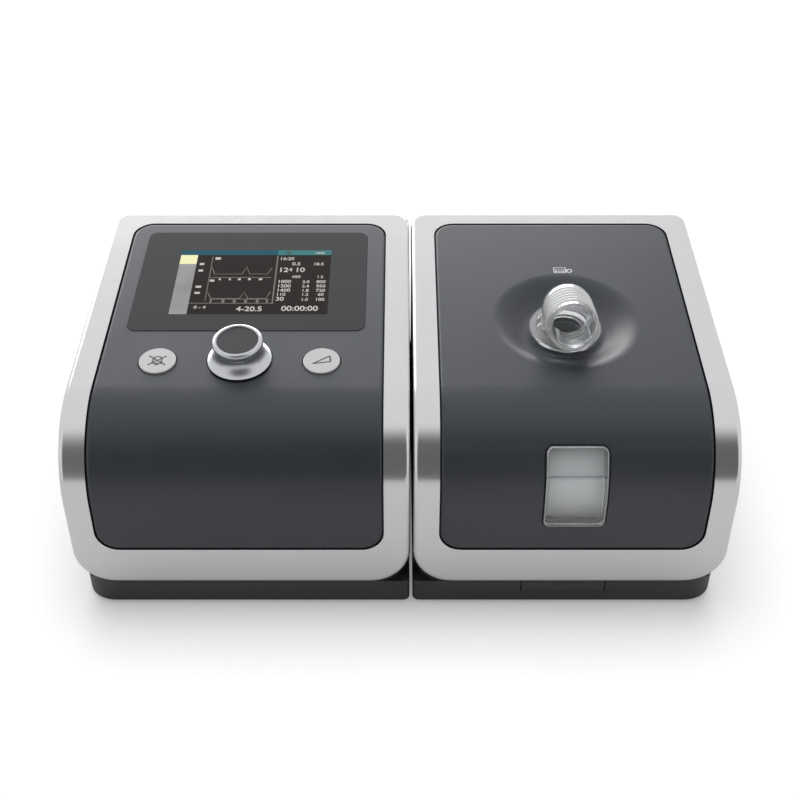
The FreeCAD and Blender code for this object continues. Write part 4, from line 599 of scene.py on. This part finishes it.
@dataclass
class DisplayPicture:
    """Lit picture of the display: bars, two traces and rows of figures."""

    centre_x: float = -70.35 * MM
    centre_back: float = 57.45 * MM
    width: float = 73.44 * MM
    height: float = 48.96 * MM
    glass: float = 0.25 * MM
    ground: float = 0.03 * MM
    layer: float = 0.02 * MM
    column: float = 0.113
    column_top: float = 0.225
    bar: float = 0.078
    bar_split: float = 0.645
    line: float = 0.42 * MM
    # Runs of points, each as its shares of the width and of the height.
    trace_upper: tuple[Spot, ...] = (
        (0.222, 0.280), (0.245, 0.385), (0.425, 0.385), (0.450, 0.270), (0.474, 0.385), (0.590, 0.385),
        (0.618, 0.285))
    trace_lower: tuple[Spot, ...] = (
        (0.222, 0.675), (0.248, 0.765), (0.430, 0.765), (0.458, 0.670), (0.486, 0.765), (0.600, 0.765),
        (0.625, 0.660))
    axes: tuple[tuple[Spot, ...], ...] = (
        ((0.214, 0.100), (0.214, 0.800)), ((0.210, 0.440), (0.620, 0.440)),
        ((0.115, 0.838), (0.645, 0.838)), ((0.643, 0.090), (0.643, 0.850)),
        ((0.647, 0.090), (0.647, 0.850)), ((0.245, 0.775), (0.620, 0.775)))
    # Small fields: shares across and down of the middle, then of their width and height.
    cells: tuple[tuple[float, float, float, float], ...] = (
        (0.150, 0.225, 0.030, 0.034), (0.150, 0.330, 0.030, 0.034), (0.155, 0.585, 0.036, 0.032),
        (0.155, 0.680, 0.036, 0.030), (0.250, 0.135, 0.036, 0.040), (0.236, 0.490, 0.030, 0.034),
        (0.285, 0.468, 0.012, 0.030), (0.350, 0.468, 0.012, 0.030), (0.412, 0.468, 0.018, 0.030),
        (0.478, 0.468, 0.018, 0.030), (0.550, 0.468, 0.022, 0.030), (0.715, 0.040, 0.030, 0.050))
    bars: tuple[tuple[float, float, float, float], ...] = (
        (0.252, 0.806, 0.012, 0.050), (0.330, 0.806, 0.018, 0.050), (0.402, 0.806, 0.018, 0.050),
        (0.474, 0.806, 0.018, 0.050), (0.548, 0.806, 0.018, 0.050), (0.610, 0.806, 0.014, 0.050))
    # Figures: shares across and down of their start, then the letter size in millimetres.
    figures: tuple[tuple[str, float, float, float], ...] = (
        ("16:20", 0.660, 0.160, 3.2), ("0.5", 0.745, 0.245, 3.4), ("18.5", 0.885, 0.245, 3.0),
        ("12", 0.660, 0.352, 4.8), ("4", 0.727, 0.340, 3.6), ("10", 0.768, 0.352, 4.8),
        ("450", 0.752, 0.448, 2.8), ("1.5", 0.915, 0.448, 2.6),
        ("1000", 0.662, 0.528, 3.3), ("2.0", 0.824, 0.528, 2.8), ("800", 0.915, 0.528, 3.0),
        ("1200", 0.662, 0.595, 3.3), ("2.4", 0.824, 0.595, 2.8), ("950", 0.915, 0.595, 3.0),
        ("1400", 0.662, 0.662, 3.3), ("1.8", 0.824, 0.662, 2.8), ("720", 0.915, 0.662, 3.0),
        ("110", 0.662, 0.724, 3.0), ("1.2", 0.824, 0.724, 2.8), ("60", 0.930, 0.724, 2.8),
        ("30", 0.662, 0.800, 4.0), ("1.0", 0.824, 0.800, 2.8), ("100", 0.915, 0.800, 3.0),
        ("0 - 4", 0.150, 0.918, 3.0), ("4-20.5", 0.420, 0.955, 4.8), ("00:00:00", 0.705, 0.950, 5.0),
        ("100%", 0.890, 0.062, 2.2))

    def place(self) -> Matrix:
        """Frame of the picture on the lens."""
        return SLOPE @ Matrix.Translation((self.centre_x, -self.centre_back, self.glass))

    def at(self, across: float, down: float) -> Spot:
        """Point of the picture from its shares across and down."""
        return (across - 0.5) * self.width, (0.5 - down) * self.height

    def panel(self, bm: bmesh.types.BMesh, left: float, right: float, top: float, low: float) -> None:
        """Add one flat field on the picture's ground.

        Args:
            bm: Mesh that takes it.
            left: Share across of its left side.
            right: Share across of its right side.
            top: Share down of its upper side.
            low: Share down of its lower side.
        """
        x0, y1 = self.at(left, top)
        x1, y0 = self.at(right, low)
        add_bar(bm, ((x0 + x1) / 2, (y0 + y1) / 2), (x1 - x0, y1 - y0), self.layer, self.ground)

    def fields(self) -> None:
        """Build the ground, the top bar and the side column."""
        ground = bmesh.new()
        add_bar(ground, (0.0, 0.0), (self.width, self.height), self.ground)
        self.put(ground, "picture_ground", PICTURE_DARK)
        for name, finish, field in (
            ("picture_bar", PICTURE_BLUE, (0.0, self.bar_split, 0.0, self.bar)),
            ("picture_bar_end", PICTURE_TEAL, (self.bar_split, 1.0, 0.0, self.bar)),
            ("picture_column", PICTURE_GREY, (0.0, self.column, self.column_top, 1.0)),
            ("picture_cell", PICTURE_YELLOW, (0.0, self.column, self.bar, self.column_top)),
        ):
            bm = bmesh.new()
            self.panel(bm, *field)
            self.put(bm, name, finish)

    def traces(self) -> None:
        """Build the axes and both traces."""
        runs = [self.trace_upper, self.trace_lower, *self.axes]
        lines = [[self.at(*point) for point in run] for run in runs]
        mesh = stroke_mesh("picture_traces", lines, self.line, self.layer)
        mesh.transform(Matrix.Translation((0.0, 0.0, self.ground)))
        self.put(joined([mesh]), "picture_traces", PICTURE_LINE)

    def readings(self) -> None:
        """Build the small cells and the figures."""
        for name, finish, cells in (
            ("picture_cells", PICTURE_PALE, self.cells), ("picture_bars", PICTURE_LINE, self.bars)):
            bm = bmesh.new()
            for across, down, wide, tall in cells:
                self.panel(bm, across - wide / 2, across + wide / 2, down - tall / 2, down + tall / 2)
            self.put(bm, name, finish)
        meshes = []
        for number, (words, across, down, size) in enumerate(self.figures):
            x, y = self.at(across, down)
            place = Matrix.Translation((x, y, self.ground + self.layer))
            meshes.append(text_mesh(f"figure_{number}", words, size * MM, self.layer, place))
        self.put(joined(meshes), "picture_figures", PICTURE_PALE)

    def put(self, bm: bmesh.types.BMesh, name: str, finish: Finish) -> None:
        """Seat one layer on the lens."""
        finish_mesh(bm, name, self.place(), "main_unit", finish)

    def build(self) -> None:
        """Build the whole picture."""
        self.fields()
        self.traces()
        self.readings()


# ---- printed marks ----
@dataclass
class KeyMarks:
    """Dark line marks on the two keys."""

    width: float = 0.75 * MM
    height: float = 0.06 * MM
    dome: float = 1.9 * MM
    dome_level: float = 0.6 * MM
    dome_steps: int = 10
    shoulder_level: float = -1.0 * MM
    skirt: float = 2.6 * MM
    skirt_level: float = -1.9 * MM
    clapper: float = 0.8 * MM
    clapper_level: float = -2.1 * MM
    clapper_span: tuple[float, float] = (200.0, 340.0)
    clapper_steps: int = 6
    crossing: Spot = (3.9 * MM, 3.0 * MM)
    wedge_corners: tuple[Spot, Spot, Spot] = (
        (-3.8 * MM, -2.1 * MM), (3.5 * MM, 2.9 * MM), (4.1 * MM, -0.7 * MM))

    def place(self, side: float) -> Matrix:
        """Frame of a key's face, left for -1 and right for 1."""
        return SLOPE @ Matrix.Translation((KNOB_X + side * KEY_SPREAD, -KEY_BACK, KEY_PROUD))

    def bell(self) -> list[Run]:
        """Draw the crossed bell.

        Returns:
            Its outline, rim and clapper, and the two lines that cross it.
        """
        dome = arc((0.0, self.dome_level), self.dome, 180.0, 0.0, self.dome_steps)
        left, right = (-self.skirt, self.skirt_level), (self.skirt, self.skirt_level)
        outline = [left, (-self.dome, self.shoulder_level), *dome, (self.dome, self.shoulder_level), right]
        clapper = arc((0.0, self.clapper_level), self.clapper, *self.clapper_span, self.clapper_steps)
        x, y = self.crossing
        return [outline, [left, right], clapper, [(-x, y), (x, -y)], [(-x, -y), (x, y)]]

    def wedge(self) -> list[Run]:
        """Draw the sides of the rising wedge, one run each."""
        tip, top, low = self.wedge_corners
        return [[tip, top], [top, low], [low, tip]]

    def build(self) -> None:
        """Build both marks."""
        bell = stroke_mesh("mute_mark", self.bell(), self.width, self.height)
        finish_mesh(joined([bell]), "mute_mark", self.place(-1.0), "mute_key", INK)
        wedge = stroke_mesh("ramp_mark", self.wedge(), self.width, self.height)
        finish_mesh(joined([wedge]), "ramp_mark", self.place(1.0), "ramp_key", INK)


@dataclass
class HoodMark:
    """Small pale mark behind the outlet: a tub and a round inlet."""

    back: float = 48.5 * MM
    shift: float = 3.4 * MM
    width: float = 0.5 * MM
    height: float = 0.05 * MM
    tub: tuple[Spot, Spot] = ((-4.4 * MM, -1.9 * MM), (1.2 * MM, 1.9 * MM))
    water: tuple[Spot, Spot] = ((-3.6 * MM, 0.2 * MM), (0.4 * MM, -1.1 * MM))
    inlet: Spot = (2.9 * MM, -0.5 * MM)
    inlet_radius: float = 1.2 * MM
    inlet_sides: int = 12

    def build(self) -> None:
        """Build the mark on the hood."""
        last = 360.0 - 360.0 / self.inlet_sides
        ring = arc(self.inlet, self.inlet_radius, 0.0, last, self.inlet_sides - 1)
        lines = [oblong(*self.tub), oblong(*self.water), ring]
        mesh = stroke_mesh("hood_mark", lines, self.width, self.height, closed=True)
        place = SLOPE @ Matrix.Translation((HOOD_X + self.shift, -self.back, 0.0))
        finish_mesh(joined([mesh]), "hood_mark", place, "hood", PALE_INK)


# ---- water window ----
@dataclass
class WindowTrim:
    """Painted shade and highlight round the water window: a near-black bead stands in for the shade in the
    gap round the pane, and a pale bead on the pane's polished edge is a painted highlight.
    """

    low: float = 47.6 * MM
    high: float = 84.2 * MM
    half_width: float = 13.35 * MM
    corner: float = 3.0 * MM
    pane_depth: float = 0.52 * MM
    gap_shade_out: float = 0.3 * MM
    gap_shade_radius: float = 0.42 * MM
    highlight_in: float = 0.55 * MM
    highlight_radius: float = 0.26 * MM
    beside: float = 22.0 * MM
    in_front: float = -1.0
    side_steps: int = 14
    corner_steps: int = 6

    def outline(self, grow: float) -> Run:
        """Rounded outline of the pane, seen from the front.

        Args:
            grow: How far it stands outside the pane's own outline.

        Returns:
            Points across and up, in order round the pane.
        """
        low, high = self.low + self.corner, self.high - self.corner
        across, radius = self.half_width - self.corner, self.corner + grow
        rises = [low + (high - low) * step / self.side_steps for step in range(1, self.side_steps)]
        right = [(across + radius, z) for z in rises]
        left = [(-across - radius, z) for z in reversed(rises)]
        corners = []
        for turn, centre in enumerate(((across, high), (-across, high), (-across, low), (across, low))):
            corners.append(arc(centre, radius, 90.0 * turn, 90.0 * (turn + 1), self.corner_steps))
        return [*right, *corners[0], *corners[1], *left, *corners[2], *corners[3]]

    def surface(self) -> BVHTree:
        """Read the hood's panel, which the trim lies on.

        Returns:
            A search tree of its faces.
        """
        bm = bmesh.new()
        bm.from_mesh(frame["nodes"]["hood_panel"].data)
        tree = BVHTree.FromBMesh(bm)
        bm.free()
        return tree

    def bead(self, name: str, grow: float, stand: float, radius: float) -> bpy.types.Mesh:
        """Round bead that follows the outline over the bend, as the panel runs beside the pane.

        Args:
            name: Name of the mesh.
            grow: How far it stands outside the pane's own outline.
            stand: Height of its axis over the panel.
            radius: Radius of the bead.

        Returns:
            The mesh, in its place.
        """
        low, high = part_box("water_window")
        middle = (low[0] + high[0]) / 2
        tree = self.surface()
        inward = Vector((0.0, 1.0, 0.0))
        spots = []
        for x, z in self.outline(grow):
            hit, normal, _, _ = tree.ray_cast(Vector((middle - self.beside, self.in_front, z)), inward)
            hit += normal * stand
            spots.append(Vector((middle + x, hit.y, hit.z)))
        return rod_mesh(name, [spots], radius, closed=True, place=Matrix())

    def build(self) -> None:
        """Build the painted gap shade and the pane's painted edge highlight on the hood."""
        # Painted shade: a near-black bead on the panel, just outside the pane, stands in for the shade in
        # the gap.
        gap_shade = self.bead("window_gap_shade", self.gap_shade_out, 0.0, self.gap_shade_radius)
        finish_mesh(joined([gap_shade]), "window_gap_shade", Matrix(), "hood", GAP_SHADE_FINISH)
        # Painted highlight: a pale bead just inside the pane's outline, at the pane's depth, stands in for
        # the bright edge of the pane.
        edge = self.bead("window_edge_highlight", -self.highlight_in, self.pane_depth, self.highlight_radius)
        finish_mesh(joined([edge]), "window_edge_highlight", Matrix(), "hood", PALE_RIDGE_HIGHLIGHT)


# ---- outlet ----
@dataclass
class OutletBands:
    """Rounded grip bands round the ridged outlet, evenly spaced from the bend to the mouth; they are real
    ribs, and their pale, half-clear acrylic is a painted highlight.

    The outlet's lift and turn are in degrees.
    """

    dimple_x: float = HOOD_X + 1.2 * MM
    dimple_back: float = 85.5 * MM
    bend_height: float = 6.3 * MM
    lift: float = 23.4
    turn: float = -3.0
    radius: float = 10.9 * MM
    half_width: float = 1.15 * MM
    crown: float = 0.75 * MM
    first: float = 3.6 * MM
    pitch: float = 4.0 * MM
    count: int = 6
    section_steps: int = 12
    turn_steps: int = 72
    weld: float = 0.001 * MM

    def place(self) -> Matrix:
        """Find where the outlet starts.

        Returns:
            Frame at the bend, with its Z axis up the outlet.
        """
        bend = SLOPE @ Matrix.Translation((self.dimple_x, -self.dimple_back, self.bend_height))
        aim = Matrix.Rotation(math.radians(90.0 - self.lift), 4, "X")
        return bend @ Matrix.Rotation(math.radians(self.turn), 4, "Z") @ aim

    def add_band(self, bm: bmesh.types.BMesh, along: float) -> None:
        """Spin one band round the outlet's axis.

        Args:
            bm: Mesh that takes the band.
            along: Distance of its middle from the bend.
        """
        stand = Matrix.Rotation(math.radians(90.0), 4, "X")
        shape = Matrix.Diagonal((self.crown, self.half_width, 1.0, 1.0))
        place = Matrix.Translation((self.radius, 0.0, along)) @ stand @ shape
        made = bmesh.ops.create_circle(bm, segments=self.section_steps, radius=1.0, matrix=place)
        edges = dict.fromkeys(edge for vert in made["verts"] for edge in vert.link_edges)
        bmesh.ops.spin(
            bm, geom=[*made["verts"], *edges], cent=(0.0, 0.0, 0.0), axis=(0.0, 0.0, 1.0), angle=math.tau,
            steps=self.turn_steps, use_merge=True)

    def build(self) -> None:
        """Build the bands as one piece on the elbow."""
        bm = bmesh.new()
        for number in range(self.count):
            self.add_band(bm, self.first + number * self.pitch)
        bmesh.ops.remove_doubles(bm, verts=bm.verts, dist=self.weld)
        bmesh.ops.recalc_face_normals(bm, faces=bm.faces)
        # Painted highlight: the bands take the pale ridge acrylic, so the clear ribs read as bright lines.
        finish_mesh(bm, "outlet_ribs_and_highlights", self.place(), "elbow", PALE_RIDGE_HIGHLIGHT)


# ---- studio ----
class Light(Enum):
    """Kinds of lamp in the studio."""

    SKY = "SUN"
    BOX = "AREA"


@dataclass(frozen=True)
class Lamp:
    """One soft lamp, which lights either the gloss or the colour of surfaces.

    Its spread is an angle in degrees for a sky lamp, and a width and a height in metres for a box.
    """

    name: str
    kind: Light
    place: tuple[float, float, float]
    spread: tuple[float, float]
    power: float
    gloss: bool
    aim: tuple[float, float, float] = (0.0, 0.0, 0.08)

    def build(self) -> None:
        """Hang the lamp."""
        data = bpy.data.lights.new(self.name, self.kind.value)
        data.energy = self.power
        if self.kind is Light.SKY:
            data.angle = math.radians(self.spread[0])
        else:
            data.shape = "RECTANGLE"
            data.size, data.size_y = self.spread
        lamp = bpy.data.objects.new(self.name, data)
        lamp.location = self.place
        lamp.rotation_euler = (Vector(self.aim) - Vector(self.place)).to_track_quat("-Z", "Y").to_euler()
        lamp.visible_glossy = self.gloss
        lamp.visible_diffuse = not self.gloss
        bpy.context.scene.collection.objects.link(lamp)


@dataclass
class Studio:
    """Pale floor, soft lamps, world and camera.

    Angles are in degrees, the lens and its sensor in millimetres, and places in metres.
    """

    floor_size: float = 8.0
    lens: float = 53.1
    sensor: float = 36.0
    nearest: float = 0.01
    camera: tuple[float, float, float] = (0.0, -0.4753, 0.3896)
    elevation: float = 35.5
    world: float = 0.4
    dark_turn: float = 5.0
    dark_rise: float = 23.0
    dark_inner: float = 22.0
    dark_outer: float = 47.0
    gloss_white: float = 1.12
    gloss_dark: float = 0.2
    floor_shade: float = 0.84
    floor_glow: float = 0.24
    floor_gloss: float = 0.06
    lamps: tuple[Lamp, ...] = (
        Lamp("overhead_light", Light.SKY, (-0.1, 0.5, 1.9), (44.0, 44.0), 1.95, gloss=False),
        Lamp("sheen_light", Light.BOX, (-0.45, 1.86, 0.66), (2.3, 1.3), 50.0, gloss=True),
    )

    def floor_material(self) -> bpy.types.Material:
        """White floor that keeps the shadow.

        Returns:
            The floor's material.
        """
        made = bpy.data.materials.new("studio_floor")
        made.use_nodes = True
        tree = made.node_tree
        shader = tree.nodes["Principled BSDF"]
        shader.inputs["Base Color"].default_value = (*[self.floor_shade] * 3, 1.0)
        shader.inputs["Roughness"].default_value = 1.0
        shader.inputs["Specular IOR Level"].default_value = 0.0
        shader.inputs["Emission Color"].default_value = (1.0, 1.0, 1.0, 1.0)
        path = add_node(tree, "ShaderNodeLightPath")
        seen = add_node(tree, "ShaderNodeMath", operation="MAXIMUM")
        mirrored = add_node(tree, "ShaderNodeMath", operation="MULTIPLY")
        mirrored.inputs[1].default_value = self.floor_gloss
        glow = add_node(tree, "ShaderNodeMath", operation="MULTIPLY_ADD")
        glow.inputs[1].default_value = self.floor_glow
        tree.links.new(path.outputs["Is Camera Ray"], seen.inputs[0])
        tree.links.new(path.outputs["Is Transmission Ray"], seen.inputs[1])
        tree.links.new(seen.outputs[0], glow.inputs[0])
        tree.links.new(path.outputs["Is Glossy Ray"], mirrored.inputs[0])
        tree.links.new(mirrored.outputs[0], glow.inputs[2])
        tree.links.new(glow.outputs[0], shader.inputs["Emission Strength"])
        return made

    def build_floor(self) -> None:
        """Lay the floor just under the feet."""
        bm = bmesh.new()
        bmesh.ops.create_grid(bm, x_segments=1, y_segments=1, size=self.floor_size / 2)
        mesh = bpy.data.meshes.new("studio_floor")
        bm.to_mesh(mesh)
        bm.free()
        mesh.materials.append(self.floor_material())
        floor = bpy.data.objects.new("studio_floor", mesh)
        bpy.context.scene.collection.objects.link(floor)

    def build_world(self) -> None:
        """White surroundings with a soft dark zone in front for gloss; plain soft light for the rest."""
        world = bpy.data.worlds.new("studio_world")
        bpy.context.scene.world = world
        world.use_nodes = True
        tree = world.node_tree
        links = tree.links
        back = tree.nodes["Background"]
        back.inputs["Color"].default_value = (1.0, 1.0, 1.0, 1.0)
        path = add_node(tree, "ShaderNodeLightPath")
        seen = add_node(tree, "ShaderNodeMath", operation="MAXIMUM")
        links.new(path.outputs["Is Camera Ray"], seen.inputs[0])
        links.new(path.outputs["Is Transmission Ray"], seen.inputs[1])
        plain = add_node(tree, "ShaderNodeMix", data_type="FLOAT")
        plain.inputs["A"].default_value = self.world
        plain.inputs["B"].default_value = 1.0
        links.new(seen.outputs[0], plain.inputs["Factor"])
        gloss = add_node(tree, "ShaderNodeMix", data_type="FLOAT")
        links.new(path.outputs["Is Glossy Ray"], gloss.inputs["Factor"])
        links.new(plain.outputs["Result"], gloss.inputs["A"])
        links.new(self.surroundings(tree), gloss.inputs["B"])
        links.new(gloss.outputs["Result"], back.inputs["Strength"])

    def surroundings(self, tree: bpy.types.NodeTree) -> bpy.types.NodeSocket:
        """Level that glossy surfaces see: white, with a dark zone in front of the object.

        Args:
            tree: The world's tree.

        Returns:
            Socket with the level.
        """
        place = add_node(tree, "ShaderNodeTexCoord")
        toward = add_node(tree, "ShaderNodeVectorMath", operation="DOT_PRODUCT")
        turn, rise = math.radians(self.dark_turn), math.radians(self.dark_rise)
        toward.inputs[1].default_value = (
            math.sin(turn) * math.cos(rise), -math.cos(turn) * math.cos(rise), math.sin(rise))
        level = add_node(tree, "ShaderNodeMapRange", interpolation_type="SMOOTHSTEP")
        level.inputs["From Min"].default_value = math.cos(math.radians(self.dark_outer))
        level.inputs["From Max"].default_value = math.cos(math.radians(self.dark_inner))
        level.inputs["To Min"].default_value = self.gloss_white
        level.inputs["To Max"].default_value = self.gloss_dark
        tree.links.new(place.outputs["Generated"], toward.inputs[0])
        tree.links.new(toward.outputs["Value"], level.inputs["Value"])
        return level.outputs["Result"]

    def build_lamps(self) -> None:
        """Hang the soft lamps."""
        for lamp in self.lamps:
            lamp.build()

    def build_camera(self) -> None:
        """Place the camera."""
        data = bpy.data.cameras.new("camera")
        data.lens = self.lens
        data.sensor_width = self.sensor
        data.clip_start = self.nearest
        camera = bpy.data.objects.new("camera", data)
        camera.location = self.camera
        camera.rotation_euler = (math.radians(90.0 - self.elevation), 0.0, 0.0)
        bpy.context.scene.collection.objects.link(camera)
        bpy.context.scene.camera = camera

    def build(self) -> None:
        """Build the studio."""
        self.build_floor()
        self.build_world()
        self.build_lamps()
        self.build_camera()
        bpy.context.scene.view_settings.view_transform = "Standard"


def main() -> None:
    """Build every class in order."""
    CarriedNodes().build()
    DisplayPicture().build()
    KeyMarks().build()
    HoodMark().build()
    WindowTrim().build()
    OutletBands().build()
    Studio().build()


if __name__ == "__main__":
    logging.basicConfig(level=logging.INFO)
    main()
